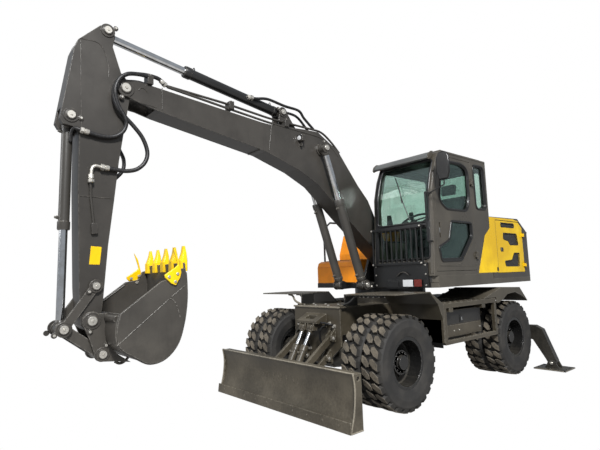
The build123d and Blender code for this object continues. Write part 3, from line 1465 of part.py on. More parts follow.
# ---------------------------------------------------------------- arm
def build_arm():
    """Box-section arm, forked at its crown and behind, with the pins that carry bucket and lever."""
    crown_x, crown_z = ARM_PIN
    with BuildPart() as arm:
        plate_xz(
            (
                (crown_x - 40, crown_z + 75),
                (crown_x - 85, crown_z + 10),
                (crown_x - 50, crown_z - 70),
                (4006, 2962),
                (4050, 2664),
                (4091, 2280),
                (4139, 1863),
                (4176, 1373),
                (4200, 1150),
                (4250, 1118),
                (4310, 1118),
                (4355, 1160),
                (4378, 1489),
                (4404, 2400),
                (4404, 2880),
                (4430, 2925),
                (4540, 2940),
                (4567, 2985),
                (4555, 3060),
                (4460, 3679),
                (4430, 3760),
                (4239, 3960),
                (4150, 3985),
                (4100, 3930),
                (4120, 3780),
                (4040, 3540),
            ),
            (-ARM_HALF, ARM_HALF),
        )
        slot = (-CYLINDER_EYE_HALF - SIDE_GAP, CYLINDER_EYE_HALF + SIDE_GAP)
        block((3990, 4600), slot, (3680, 4000), Mode.SUBTRACT)
        reach = BUCKET_BARREL[1] * 1.12 + SIDE_GAP
        block((4405, 4600), (-reach, reach), (2800, 3100), Mode.SUBTRACT)
        hole = (-ARM_HALF - 1, ARM_HALF + 1)
        pin_y(*ARM_PIN, hole, ARM_PIN_R + RUNNING, Mode.SUBTRACT)
        pin_y(*BUCKET_BARREL_PIN, (-ARM_HALF - 12, ARM_HALF + 12), CYLINDER_PIN_R)
        reach = ARM_HALF + SIDE_GAP + BUCKET_EAR_T + 6
        pin_y(*BUCKET_PIN, (-reach, reach), BUCKET_PIN_R)
        reach = ARM_HALF + SIDE_GAP + LEVER_T + 6
        pin_y(*LEVER_PIN, (-reach, reach), LEVER_PIN_R)
    return arm.part


save(build_arm(), "arm")


def strap(start, end, half, y):
    """A flat bar between two pins in the XZ plane, rounded at both."""
    length = hypot(end[0] - start[0], end[1] - start[1])
    across = ((start[1] - end[1]) / length * half, (end[0] - start[0]) / length * half)
    plate_xz(
        (
            (start[0] + across[0], start[1] + across[1]),
            (start[0] - across[0], start[1] - across[1]),
            (end[0] - across[0], end[1] - across[1]),
            (end[0] + across[0], end[1] + across[1]),
        ),
        y,
    )
    for x, z in (start, end):
        pin_y(x, z, y, half * 1.15)


with BuildPart() as lever:
    for side in (-1, 1):
        y = sorted((side * (ARM_HALF + SIDE_GAP), side * (ARM_HALF + SIDE_GAP + LEVER_T)))
        strap(LEVER_PIN, BUCKET_ROD_PIN, LEVER_HALF, y)
        pin_y(*LEVER_PIN, (y[0] - 1, y[1] + 1), LEVER_PIN_R + RUNNING, Mode.SUBTRACT)
save(lever.part, "bucket_lever")

with BuildPart() as link:
    for side in (-1, 1):
        y = sorted((side * (ARM_HALF - 30), side * ARM_HALF))
        strap(BUCKET_ROD_PIN, LINK_PIN, ROD_LINK_HALF, y)
    web = axis_point(LINK_PIN, BUCKET_ROD_PIN, 150)
    strap(LINK_PIN, web, ROD_LINK_HALF * 0.7, (-ARM_HALF + 5, ARM_HALF - 5))
    pin_y(*LINK_PIN, (-ARM_HALF, ARM_HALF), ROD_LINK_HALF * 1.15)
    pin_y(*LINK_PIN, (-ARM_HALF - 1, ARM_HALF + 1), LINK_PIN_SMALL_R + RUNNING, Mode.SUBTRACT)
save(link.part, "bucket_link")


# ---------------------------------------------------------------- bucket
def build_bucket():
    """Welded bucket: a bent wrapper between two side plates, and two ears on its back."""
    inner = shrink(BUCKET_WRAPPER, BUCKET_WALL)
    front = ((3535, 1433), (3548, 1640), (3600, 1630), (3650, 1545), (3778, 1524))
    side_outline = BUCKET_WRAPPER[:-1] + front
    with BuildPart() as bucket:
        wrapper = BUCKET_WRAPPER[:-1] + (BUCKET_LIP,) + tuple(reversed(inner[:-1]))
        plate_xz(wrapper, (-BUCKET_HALF, BUCKET_HALF))
        for side in (-1, 1):
            plate_xz(side_outline, sorted((side * (BUCKET_HALF - BUCKET_WALL), side * BUCKET_HALF)))
        for side in (-1, 1):
            near = ARM_HALF + SIDE_GAP
            y = sorted((side * near, side * (near + BUCKET_EAR_T)))
            pin_y(*BUCKET_PIN, y, BUCKET_PIN_R + 40)
            pin_y(*LINK_PIN, y, LINK_PIN_SMALL_R + 32)
            plate_xz(
                (
                    (BUCKET_PIN[0] - 60, BUCKET_PIN[1] + 58),
                    (BUCKET_PIN[0] + 75, BUCKET_PIN[1] - 20),
                    (LINK_PIN[0] + 62, LINK_PIN[1] - 10),
                    (LINK_PIN[0] + 20, LINK_PIN[1] - 62),
                    (3990, 862),
                    (4130, 985),
                    (4155, 1120),
                    (4125, 1256),
                ),
                y,
            )
        for side in (-1, 1):
            near = ARM_HALF + SIDE_GAP
            hole = sorted((side * (near - 1), side * (near + BUCKET_EAR_T + 1)))
            pin_y(*BUCKET_PIN, hole, BUCKET_PIN_R + RUNNING, Mode.SUBTRACT)
        reach = ARM_HALF + SIDE_GAP + BUCKET_EAR_T + 6
        pin_y(*LINK_PIN, (-reach, reach), LINK_PIN_SMALL_R)
    return bucket.part


save(build_bucket(), "bucket")

with BuildPart() as teeth:
    lip_x, lip_z = BUCKET_LIP
    for i in range(TEETH):
        y = (i - (TEETH - 1) / 2) * TOOTH_PITCH
        plate_xz(
            (
                (lip_x - 34, lip_z - 70),
                (lip_x - 34, lip_z + 20),
                (lip_x - 12, lip_z + 155),
                (lip_x + 6, lip_z + 155),
                (lip_x + 36, lip_z + 20),
                (lip_x + 36, lip_z + SEAT),
                (lip_x - 2 - SEAT, lip_z + SEAT),
                (lip_x - 8 - SEAT, lip_z - 70),
            ),
            (y - TOOTH_W / 2, y + TOOTH_W / 2),
        )
    for side in (-1, 1):
        plate_xz(
            ((3682, 1830), (3633, 1665), (3759, 1577), (3749, 1545), (3654, 1480), (3600, 1573)),
            sorted((side * (BUCKET_HALF + SEAT), side * (BUCKET_HALF + 20))),
        )
save(teeth.part, "bucket_teeth")
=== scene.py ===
import json
from math import cos, hypot, pi, radians, sin

import bmesh
import bpy
from mathutils import Matrix, Vector


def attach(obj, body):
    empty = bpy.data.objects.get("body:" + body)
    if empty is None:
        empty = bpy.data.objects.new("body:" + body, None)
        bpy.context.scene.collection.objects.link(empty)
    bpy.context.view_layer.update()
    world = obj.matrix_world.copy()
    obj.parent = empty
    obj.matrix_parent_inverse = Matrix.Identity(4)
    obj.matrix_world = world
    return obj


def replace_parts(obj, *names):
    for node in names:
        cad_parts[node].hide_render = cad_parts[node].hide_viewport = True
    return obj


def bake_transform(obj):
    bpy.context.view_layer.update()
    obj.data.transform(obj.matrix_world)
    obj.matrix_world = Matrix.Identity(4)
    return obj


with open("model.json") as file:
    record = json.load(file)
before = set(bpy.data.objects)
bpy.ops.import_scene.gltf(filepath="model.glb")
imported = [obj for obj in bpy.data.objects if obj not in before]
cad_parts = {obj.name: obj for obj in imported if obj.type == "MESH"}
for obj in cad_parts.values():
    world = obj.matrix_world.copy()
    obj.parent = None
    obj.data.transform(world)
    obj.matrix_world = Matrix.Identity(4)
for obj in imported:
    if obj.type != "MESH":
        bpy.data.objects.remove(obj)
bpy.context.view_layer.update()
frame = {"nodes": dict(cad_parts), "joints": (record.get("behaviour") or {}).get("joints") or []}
nodes = frame["nodes"]
joint_at = {joint["name"]: Vector(joint["pos_m"]) for joint in frame["joints"] if joint.get("pos_m")}

# ---- Stage ----------------------------------------------------------------------------------
# The machine stands on a plain white yard, seen from its front left at a standing person's
# height. The floor shows plain white to the camera; its grey, shadowed face shows only in reflections.

bpy.context.scene.view_settings.view_transform = "Standard"
camera_data = bpy.data.cameras.new("camera")
camera_data.sensor_width = 36.0
camera_data.lens = 27.285
camera_data.clip_end = 200.0
camera = bpy.data.objects.new("camera", camera_data)
bpy.context.scene.collection.objects.link(camera)
yaw, pitch, roll = radians(-130.39), radians(6.41), radians(-1.93)
forward = Vector((cos(yaw) * cos(pitch), sin(yaw) * cos(pitch), sin(pitch)))
level_right = Vector((sin(yaw), -cos(yaw), 0.0))
level_up = level_right.cross(forward)
right = level_right * cos(roll) + level_up * sin(roll)
up = level_up * cos(roll) - level_right * sin(roll)
axes = Matrix((right, up, -forward)).transposed().to_4x4()
camera.matrix_world = Matrix.Translation((5.486, 4.415, 1.526)) @ axes
bpy.context.scene.camera = camera


class Wire:
    """One output of a material's nodes. Sums and products of wires add the Math nodes for them."""

    tree = None

    def __init__(self, socket):
        self.socket = socket

    @classmethod
    def node(cls, kind, inputs, output=0, **settings):
        """An output of a new node, with its settings set and its sockets set or linked."""
        node = cls.tree.nodes.new("ShaderNode" + kind)
        for name, value in settings.items():
            setattr(node, name, value)
        for name, value in inputs.items():
            if isinstance(value, Wire):
                cls.tree.links.new(value.socket, node.inputs[name])
            else:
                node.inputs[name].default_value = value
        return cls(node.outputs[output])

    def maths(self, operation, a, b):
        return self.node("Math", {0: a, 1: b}, operation=operation)

    def __add__(self, other):
        return self.maths("ADD", self, other)

    def __sub__(self, other):
        return self.maths("SUBTRACT", self, other)

    def __rsub__(self, other):
        return self.maths("SUBTRACT", other, self)

    def __mul__(self, other):
        return self.maths("MULTIPLY", self, other)

    def __truediv__(self, other):
        return self.maths("DIVIDE", self, other)

    def __rtruediv__(self, other):
        return self.maths("DIVIDE", other, self)

    __radd__ = __add__
    __rmul__ = __mul__

    def fade(self, low, high):
        """0 where this is below low, 1 above high."""
        return self.node("MapRange", {0: self, 1: low, 2: high}, interpolation_type="SMOOTHSTEP")


def new_material(name):
    material = bpy.data.materials.new(name)
    material.use_nodes = True
    Wire.tree = material.node_tree
    return material, material.node_tree.nodes["Principled BSDF"]


def plug(shader, **sockets):
    """Sets the shader's own sockets, or links wires to them; Base_Color stands for "Base Color"."""
    for name, value in sockets.items():
        socket = shader.inputs[name.replace("_", " ")]
        if isinstance(value, Wire):
            Wire.tree.links.new(value.socket, socket)
        else:
            socket.default_value = value


def rgb(red, green, blue):
    return (red, green, blue, 1.0)


yard, shader = new_material("white_yard")
plug(shader, Base_Color=rgb(0.3, 0.29, 0.28), Roughness=0.9)
seen = Wire.node("LightPath", {}, "Is Camera Ray")
mirrored = Wire.node("LightPath", {}, "Is Glossy Ray")
through = Wire.node("LightPath", {}, "Is Transmission Ray")
white = Wire.node("Emission", {"Color": rgb(1, 1, 1), "Strength": 1.0})
share = Wire.node("Math", {0: seen + through + mirrored * 0.25, 1: 1.0}, operation="MULTIPLY", use_clamp=True)
floor_look = Wire.node("MixShader", {0: share, 1: Wire(shader.outputs[0]), 2: white})
yard.node_tree.links.new(floor_look.socket, yard.node_tree.nodes["Material Output"].inputs[0])

mesh = bpy.data.meshes.new("yard")
mesh.from_pydata([(-40, -40, 0), (40, -40, 0), (40, 40, 0), (-40, 40, 0)], [], [(0, 1, 2, 3)])
floor = bpy.data.objects.new("yard", mesh)
mesh.materials.append(yard)
bpy.context.scene.collection.objects.link(floor)

world = bpy.data.worlds.new("sky")
bpy.context.scene.world = world
world.use_nodes = True
Wire.tree = world.node_tree
seen = Wire.node("LightPath", {}, "Is Camera Ray") + Wire.node("LightPath", {}, "Is Transmission Ray")
sky = Wire.node("MixRGB", {0: seen, 1: rgb(0.74, 0.79, 0.86), 2: rgb(1, 1, 1)}, use_clamp=True)
strength = Wire.node("Mix", {0: seen, 2: 0.46, 3: 1.0}, data_type="FLOAT")
world_light = world.node_tree.nodes["Background"]
world.node_tree.links.new(sky.socket, world_light.inputs[0])
world.node_tree.links.new(strength.socket, world_light.inputs[1])

for name, place, aim, power, size in (("sun_side", (7.0, 9.0, 9.5), (0.5, 0.0, 1.8), 2300.0, 2.0),
        ("front_fill", (12.0, -3.0, 6.0), (1.0, 0.0, 1.8), 450.0, 6.0)):
    lamp_data = bpy.data.lights.new(name, "AREA")
    lamp_data.energy = power
    lamp_data.size = size
    lamp = bpy.data.objects.new(name, lamp_data)
    lamp.location = place
    lamp.rotation_euler = (Vector(aim) - Vector(place)).to_track_quat("-Z", "Y").to_euler()
    bpy.context.scene.collection.objects.link(lamp)

# ---- Undercarriage paint --------------------------------------------------------------------
# Welded plate, sprayed olive-grey over primer: dust lies on its ledges and low down, rain has
# run down its walls, and its corners are rubbed lighter.


def blend_colour(share, a, b):
    return Wire.node("Mix", {0: share, 6: a, 7: b}, 2, data_type="RGBA")


def here():
    """A place on the piece, in its own metres."""
    return Wire.node("TexCoord", {}, "Object")


def noise(place, scale, detail, roughness=0.5):
    return Wire.node("TexNoise", {"Vector": place, "Scale": scale, "Detail": detail, "Roughness": roughness})


def bump(height, strength, distance, **inputs):
    return Wire.node("Bump", {"Strength": strength, "Distance": distance, "Height": height, **inputs})


def painted(name, colour, gloss=0.45, dust=0.5, streaks=0.25, wear=0.35, worn=(0.5, 0.46, 0.38), low=1.3,
        second=None):
    """A sprayed steel finish. wear is how far its corners are rubbed to the worn colour; second is
    another colour and a function that says, from the wires of x, y and z, where that one goes."""
    material, shader = new_material(name)
    place = here()
    cloud = noise(place, 1.7, 6.0, 0.6)
    grain = noise(place, 38.0, 4.0, 0.65)
    runs = noise(Wire.node("Mapping", {"Vector": place, "Scale": (9.0, 9.0, 0.9)}), 1.0, 5.0, 0.7)
    normal = Wire.node("NewGeometry", {}, "Normal")
    upward = Wire.node("SeparateXYZ", {0: normal}, "Z")
    across = [Wire.node("SeparateXYZ", {0: place}, axis) for axis in "XYZ"]
    height = across[2]
    rounded = Wire.node("Bevel", {"Radius": 0.007}, samples=4)
    broad = Wire.node("Bevel", {"Radius": 0.016}, samples=4)
    same = Wire.node("VectorMath", {0: broad, 1: normal}, "Value", operation="DOT_PRODUCT")
    corner = (1.0 - same).fade(0.02, 0.22)
    deep, light = [c * 0.8 for c in colour], [min(1.0, c * 1.18) for c in colour]
    tone = blend_colour(cloud.fade(0.35, 0.68), rgb(*deep), rgb(*light))
    tone = blend_colour(runs.fade(0.52, 0.72) * streaks, tone, rgb(*(c * 0.45 for c in colour)))
    if second:
        other, where = second
        tone = blend_colour(where(*across), tone, rgb(*other))
    ledge = upward.fade(0.55, 0.95) * cloud.fade(0.3, 0.6)
    mud = (1.0 - height / low).fade(0.0, 0.95) * (grain * 0.35 + cloud * 0.65).fade(0.38, 0.62)
    dusty = Wire.node("Math", {0: (ledge * 0.55 + mud * 0.75) * dust, 1: 0.85}, operation="MINIMUM")
    tone = blend_colour(dusty, tone, rgb(0.33, 0.29, 0.22))
    rubbed = corner * grain.fade(0.42, 0.56) * wear
    tone = blend_colour(rubbed, tone, rgb(*worn))
    rough = cloud * 0.16 + dusty * 0.35 + ledge * 0.14 + (gloss - 0.08)
    relief = bump(grain + cloud * 2.0, 0.12, 0.004, Normal=rounded)
    plug(shader, Base_Color=tone, Roughness=rough, Normal=relief)
    return material


def dress(material, *names):
    """Gives CAD nodes their finish."""
    for name in names:
        mesh = nodes[name].data
        mesh.materials.clear()
        mesh.materials.append(material)


olive = painted("olive_plate", (0.06, 0.05, 0.034), gloss=0.36, dust=0.2, streaks=0.15)
# the brackets inside the fenders, and their undersides, are black: painted shade under the fenders
fender_paint_and_shade = painted("fender_plate_and_shade", (0.066, 0.057, 0.041), gloss=0.36, dust=0.22, streaks=0.15,
    second=((0.012, 0.012, 0.011), lambda x, y, z: (1.0 - (y * y).fade(0.25, 0.2601)) * (1.0 - z.fade(1.287,
    1.289))))
under_black = painted("underside_black", (0.016, 0.016, 0.015), gloss=0.42, dust=0.3, streaks=0.1,
    worn=(0.12, 0.11, 0.1))
dress(fender_paint_and_shade, "fenders")
dress(olive, "frame", "side_steps", "blade", "blade_links_upper", "blade_links_lower")
dress(under_black, "front_axle", "rear_axle", "driveline", "knuckle_left", "knuckle_right", "tie_rod",
    "swing_ring_lower")
leg_look = painted("leg_black", (0.012, 0.0115, 0.0105), gloss=0.36, dust=0.15, streaks=0.2,
    wear=0.3, worn=(0.14, 0.13, 0.12))
SIDES = ((1, "left"), (-1, "right"))
for _, word in SIDES:
    dress(leg_look, "outrigger_leg_" + word, "outrigger_foot_" + word)

# ---- Tyres ----------------------------------------------------------------------------------
# Four pairs of cross-ply construction tyres. The carcass is moulded smooth with a few rings on
# its side walls; chunky blocks stand round it in two rows that interlock, dusty on top.

TREAD_R = 0.53
BLOCKS = 26
SECTION = ((0.284, 0.1), (0.29, 0.112), (0.302, 0.117), (0.318, 0.119), (0.33, 0.126), (0.336, 0.1262),
    (0.35, 0.132), (0.385, 0.1385), (0.392, 0.1405), (0.4, 0.1405), (0.406, 0.139), (0.436, 0.1375), (0.455, 0.133),
    (0.461, 0.134), (0.467, 0.132), (0.48, 0.121), (0.488, 0.108), (0.492, 0.085), (0.492, 0.0))


def spin(bm, profile, steps, shift=0.0):
    """Turns a profile of (radius, y) points about the Y axis."""
    rings = []
    for step in range(steps):
        turn = 2 * pi * step / steps
        rings.append([bm.verts.new((r * cos(turn), y + shift, r * sin(turn))) for r, y in profile])
    for step in range(steps):
        one, two = rings[step], rings[(step + 1) % steps]
        for k in range(len(profile) - 1):
            bm.faces.new((one[k], one[k + 1], two[k + 1], two[k]))


def finish_mesh(bm, name, material, smooth=32.0):
    """Makes an object of a bmesh; edges sharper than smooth degrees stay crisp."""
    bmesh.ops.remove_doubles(bm, verts=bm.verts, dist=1e-5)
    bmesh.ops.recalc_face_normals(bm, faces=bm.faces)
    for face in bm.faces:
        face.smooth = True
    for edge in bm.edges:
        edge.smooth = len(edge.link_faces) == 2 and edge.calc_face_angle(0.0) < radians(smooth)
    mesh = bpy.data.meshes.new(name)
    bm.to_mesh(mesh)
    bm.free()
    mesh.materials.append(material)
    piece = bpy.data.objects.new(name, mesh)
    bpy.context.scene.collection.objects.link(piece)
    return piece


rubber, shader = new_material("tyre_rubber")
specks, patches = noise(here(), 55.0, 5.0, 0.7), noise(here(), 5.0, 4.0)
flat_place = Wire.node("VectorMath", {0: here(), 1: (1.0, 0.0, 1.0)}, operation="MULTIPLY")
from_hub = Wire.node("VectorMath", {0: flat_place}, "Value", operation="LENGTH")
tops = from_hub.fade(0.517, 0.527)
tone = blend_colour(patches.fade(0.35, 0.7), rgb(0.022, 0.021, 0.02), rgb(0.041, 0.038, 0.034))
# painted shade: the tread's base and the lower sides of the blocks are darkened for the shade in the grooves
# between them
tone = blend_colour(from_hub.fade(0.46, 0.505) * (1.0 - tops) * 0.75, tone, rgb(0.018, 0.016, 0.013))
dry_mud = blend_colour(patches.fade(0.3, 0.7), rgb(0.085, 0.071, 0.052), rgb(0.205, 0.174, 0.13))
tone = blend_colour(tops * specks.fade(0.25, 0.55) * 0.95, tone, dry_mud)
plug(shader, Base_Color=tone, Roughness=specks * 0.2 + 0.62, Normal=bump(specks, 0.25, 0.003))

# a block seen from above, as (round the tyre, across it), pointing to the tyre's middle
block_top = ((-0.042, 0.11), (0.026, 0.11), (0.078, 0.042), (0.07, 0.006), (0.03, 0.006), (-0.02, 0.056))
bm = bmesh.new()
for tyre_y in (-0.15, 0.15):
    wall = [(r, y) for r, y in SECTION]
    whole = wall + [(r, -y) for r, y in reversed(wall[:-1])]
    spin(bm, whole, 112, tyre_y)
    for row in (-1, 1):
        for number in range(BLOCKS):
            middle = 2 * pi * (number + (0.25 if row > 0 else 0.75)) / BLOCKS
            centre_s = sum(s for s, _ in block_top) / len(block_top)
            centre_y = sum(y for _, y in block_top) / len(block_top)
            rings = []
            for inset, radius, spread in ((0.94, TREAD_R, 0.0), (0.985, TREAD_R - 0.002, 0.0),
                    (1.0, TREAD_R - 0.006, 0.0), (1.02, 0.506, 0.004), (1.05, 0.484, 0.01)):
                ring = []
                for s, y in block_top:
                    s2 = centre_s + (s - centre_s) * inset
                    y2 = centre_y + (y - centre_y) * inset
                    shoulder = max(0.0, (y2 - 0.07) / 0.04)
                    y2 += spread * shoulder * 1.6
                    r2 = radius - 0.004 * shoulder ** 2 - spread * shoulder * 2.0
                    turn = middle + row * s2 / 0.52
                    ring.append(bm.verts.new((r2 * cos(turn), tyre_y + row * y2, r2 * sin(turn))))
                rings.append(ring)
            bm.faces.new(rings[0])
            for upper_ring, lower_ring in zip(rings, rings[1:]):
                for k in range(len(block_top)):
                    j = (k + 1) % len(block_top)
                    bm.faces.new((upper_ring[k], lower_ring[k], lower_ring[j], upper_ring[j]))
tyre_pair = finish_mesh(bm, "tyre_pair", rubber)
bpy.context.scene.collection.objects.unlink(tyre_pair)


def on_wheel(name, pattern, corner_name):
    """A copy of a wheel's piece, at its corner of the machine."""
    copy = bpy.data.objects.new(name + corner_name, pattern.data)
    copy.location = joint_at["wheel_" + corner_name + "_spin"]
    bpy.context.scene.collection.objects.link(copy)
    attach(copy, "wheel_" + corner_name)
    return copy


for corner_name in ("front_left", "front_right", "rear_left", "rear_right"):
    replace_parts(on_wheel("treaded_tyres_", tyre_pair, corner_name), "tyres_" + corner_name)

# ---- Rims -----------------------------------------------------------------------------------
# Pressed steel rims sprayed satin black: a rolled flange, a deep dish and a drum-shaped hub
# with planetary gears inside, held by a ring of wheel nuts and a smaller ring of cap bolts.

rim_black = painted("rim_black", (0.012, 0.012, 0.012), gloss=0.26, dust=0.12, streaks=0.0, wear=0.5,
    worn=(0.16, 0.15, 0.14), low=0.6)
face_y = 0.15 + 0.107
web_y = face_y - 0.185
rim_profile = ((0.293, face_y - 0.012), (0.3, face_y - 0.004), (0.298, face_y), (0.288, face_y),
    (0.282, face_y - 0.008), (0.279, face_y - 0.03), (0.268, face_y - 0.04), (0.262, face_y - 0.075),
    (0.262, face_y - 0.082), (0.255, face_y - 0.086), (0.252, web_y + 0.03), (0.24, web_y + 0.008), (0.215, web_y),
    (0.15, web_y + 0.004), (0.136, web_y + 0.01), (0.132, web_y + 0.016), (0.131, web_y + 0.083),
    (0.127, web_y + 0.092), (0.118, web_y + 0.095), (0.082, web_y + 0.095), (0.079, web_y + 0.099),
    (0.078, web_y + 0.127), (0.073, web_y + 0.132), (0.0004, web_y + 0.133))


def skin(bm, rings, ends=(0, -1)):
    """Joins rings of points into a skin, closed at these ends."""
    for a, b in zip(rings, rings[1:]):
        for k in range(len(a)):
            j = (k + 1) % len(a)
            bm.faces.new((a[k], a[j], b[j], b[k]))
    for end in ends:
        bm.faces.new(rings[end])


def nut(bm, centre, axis, radius, height, sides=6):
    """A bolt head or a nut standing on a surface, with its corners turned down."""
    turn = Vector((0, 0, 1)).rotation_difference(Vector(axis)).to_matrix()
    rings = []
    for scale, rise in ((1.0, -0.1), (1.0, 0.8), (0.8, 1.0)):
        ring = []
        for k in range(sides):
            angle = 2 * pi * k / sides
            ring.append(bm.verts.new(Vector(centre) + turn @ Vector((radius * scale * cos(angle),
                radius * scale * sin(angle), height * rise))))
        rings.append(ring)
    skin(bm, rings, (-1,))


for side, word in SIDES:
    bm = bmesh.new()
    spin(bm, rim_profile, 64)
    for count, offset, circle, y, radius, height in ((10, 0.0, 0.178, 0.002, 0.016, 0.022),
            (12, 0.5, 0.106, 0.095, 0.008, 0.007)):
        for number in range(count):
            turn = 2 * pi * (number + offset) / count
            nut(bm, (circle * cos(turn), web_y + y, circle * sin(turn)), (0, 1, 0), radius, height)
    if side < 0:
        bmesh.ops.scale(bm, vec=(1, -1, 1), verts=bm.verts)
    rim = finish_mesh(bm, "rim_pressing", rim_black, 30.0)
    bpy.context.scene.collection.objects.unlink(rim)
    for corner_name in ("front_" + word, "rear_" + word):
        on_wheel("rim_dish_", rim, corner_name)
        dress(rim_black, "rims_" + corner_name)

# ---- Hydraulic rams -------------------------------------------------------------------------
# Every ram is a honed tube with a welded foot eye and a screwed gland, sprayed dark, and a
# hard-chromed rod that ends in a forged eye. Tube and rod ride on their own bodies.

chrome, shader = new_material("hard_chrome")
film = noise(here(), 14.0, 5.0, 0.6)
plug(shader, Base_Color=blend_colour(film.fade(0.4, 0.7), rgb(0.72, 0.73, 0.74), rgb(0.56, 0.56, 0.55)),
    Metallic=1.0, Roughness=film * 0.16 + 0.08)
ram_grey = painted("ram_grey", (0.052, 0.048, 0.042), gloss=0.36, dust=0.4, streaks=0.15, wear=0.3)
ram_black = painted("ram_black", (0.016, 0.016, 0.016), gloss=0.3, dust=0.35, streaks=0.1, wear=0.3)


def fasten(bm, name, look, body, smooth=32.0):
    """A finished mesh, riding on its body."""
    piece = finish_mesh(bm, name, look, smooth)
    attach(piece, body)
    return piece


def turned(bm, start, end, profile, steps=40):
    """A turned part: (along, radius) points about the line from start, in metres from it."""
    start, end = Vector(start), Vector(end)
    turn = Vector((0, 0, 1)).rotation_difference(end - start).to_matrix()
    rings = []
    for along, radius in profile:
        rings.append([bm.verts.new(start + turn @ Vector((radius * cos(2 * pi * k / steps),
            radius * sin(2 * pi * k / steps), along))) for k in range(steps)])
    skin(bm, rings)


def lathe(name, start, end, profile, look, body, steps=40):
    """A turned part that is a piece of its own."""
    bm = bmesh.new()
    turned(bm, start, end, profile, steps)
    return fasten(bm, name, look, body)


def eye_boss(bm, centre, across, half, radius):
    """A round eye with broken edges, across its pin."""
    centre, across = Vector(centre), Vector(across)
    turned(bm, centre - across * half, centre, ((0.0, radius - 0.004), (0.004, radius), (2 * half - 0.004, radius),
        (2 * half, radius - 0.004)), 32)


def ram(name, foot, eye, barrel, rod, eye_half, across, tube_look, bodies, replaced, port_side):
    """One ram: its tube and its rod, with the tube's oil ports on the given side."""
    foot, eye = Vector(foot), Vector(eye)
    axis = (eye - foot).normalized()
    length, r = barrel
    rod_length, rod_r = rod
    bm = bmesh.new()
    eye_boss(bm, foot, across, eye_half, r * 1.02)
    turned(bm, foot, eye, ((0.0, r * 0.6), (r * 0.9, r * 0.72), (r * 1.3, r * 0.99), (r * 1.38, r), (r * 1.9, r),
        (r * 1.92, r * 0.94), (length - 0.075, r * 0.94), (length - 0.073, r * 1.06), (length - 0.012, r * 1.06),
        (length - 0.008, r * 1.02), (length, r * 1.0), (length, rod_r + 0.002)))
    for along in (r * 2.6, length - 0.11):
        port = foot + axis * along
        turned(bm, port, port + Vector(port_side), ((r * 0.9, 0.016), (r + 0.012, 0.016), (r + 0.014, 0.014)), 16)
        side = port + Vector(port_side) * (r + 0.014)
        turned(bm, side, side + Vector(port_side), ((0.0, 0.011), (0.012, 0.011), (0.014, 0.009)), 6)
    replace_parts(fasten(bm, name + "_tube", tube_look, bodies[0]), replaced[0])
    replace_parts(lathe(name + "_rod", eye, foot, ((0.0, rod_r), (rod_length, rod_r)), chrome, bodies[1]),
        replaced[1])
    bm = bmesh.new()
    eye_boss(bm, eye, across, eye_half, r * 0.98)
    turned(bm, eye, foot, ((0.0, rod_r * 1.25), (r * 0.92, rod_r * 1.3), (r * 1.35, rod_r * 1.2),
        (r * 1.5, rod_r * 1.03)), 32)
    fasten(bm, name + "_rod_eye", tube_look, bodies[1])


for side, word in SIDES:
    y = side * 0.215
    ram("boom_ram_" + word, (0.83, y, 1.38), (1.459, y, 3.173), (1.206, 0.0625), (1.29, 0.042), 0.045, (0, 1, 0),
        ram_grey, ("boom_barrels", "boom_rods"), ("boom_cylinder_barrels", "boom_cylinder_rods"), (0.94, 0, -0.33))
ram("arm_ram", (2.018, 0, 3.591), (4.17, 0, 3.93), (1.325, 0.062), (1.38, 0.042), 0.045, (0, 1, 0), ram_black,
    ("arm_barrel", "arm_rod"), ("arm_cylinder_barrel", "arm_cylinder_rod"), (-0.155, 0, 0.988))
ram("bucket_ram", (4.476, 0, 3.029), (4.499, 0, 1.144), (1.026, 0.05), (1.04, 0.035), 0.045, (0, 1, 0), ram_grey,
    ("bucket_barrel", "bucket_rod"), ("bucket_cylinder_barrel", "bucket_cylinder_rod"), (1, 0, 0.012))
for side, word in SIDES:
    y = side * 0.075
    ram("blade_ram_" + word, (1.985, y, 0.33), (1.66, y, 0.88), (0.4, 0.046), (0.33, 0.025), 0.035, (0, 1, 0),
        olive, ("blade_barrels", "blade_rods"), ("blade_cylinder_barrels", "blade_cylinder_rods"), (0.86, 0, 0.51))
for side, word in SIDES:
    ram("jack_ram_" + word, (-1.925, side * 0.15, 1.06), (-1.925, side * 1.12, 0.585), (0.58, 0.044), (0.6, 0.025),
        0.034, (1, 0, 0), ram_black, ("jack_barrel_" + word, "jack_rod_" + word),
        ("outrigger_barrel_" + word, "outrigger_rod_" + word), (0, side * 0.44, 0.9))

# ---- Upper structure's paint ----------------------------------------------------------------
# The cab, the deck and the hood are pressed sheet in a satin grey-brown; the hood's left door
# and side sheet are yellow, tank and tool box orange, and the cab's front panel is black.

cab_brown = painted("cab_brown", (0.068, 0.06, 0.047), gloss=0.3, dust=0.14, streaks=0.12, wear=0.12,
    low=1.5)
hood_brown = painted("hood_brown", (0.052, 0.047, 0.04), gloss=0.36, dust=0.2, streaks=0.25,
    wear=0.2, low=1.6)
# the deck's nose and its right front are black, and its underside is painted black as shade under the deck
deck_two_tone_and_shade = painted("deck_two_tone_and_shade", (0.072, 0.064, 0.05), gloss=0.36, dust=0.15, streaks=0.2,
    wear=0.2, low=1.6, second=((0.012, 0.012, 0.012), lambda x, y,
    z: 1.0 - (1.0 - x.fade(0.64, 0.65)) * (1.0 - x.fade(-0.25, -0.24) * (1.0 - y).fade(0.7, 0.71)) * z.fade(1.33,
    1.334)))
yellow = painted("hood_yellow", (0.92, 0.56, 0.002), gloss=0.3, dust=0.05, streaks=0.1, wear=0.1,
    worn=(0.7, 0.6, 0.35), low=0.5)
orange = painted("tank_orange", (0.86, 0.27, 0.004), gloss=0.32, dust=0.08, streaks=0.15, wear=0.1,
    worn=(0.6, 0.4, 0.2), low=0.5)
satin_black = painted("satin_black", (0.01, 0.01, 0.01), gloss=0.3, dust=0.1, streaks=0.05, wear=0.2,
    worn=(0.1, 0.1, 0.1), low=0.5)
dress(cab_brown, "cab_shell", "cab_door")
dress(hood_brown, "counterweight", "engine_block", "engine_housing", "engine_door_right", "hood_lid")
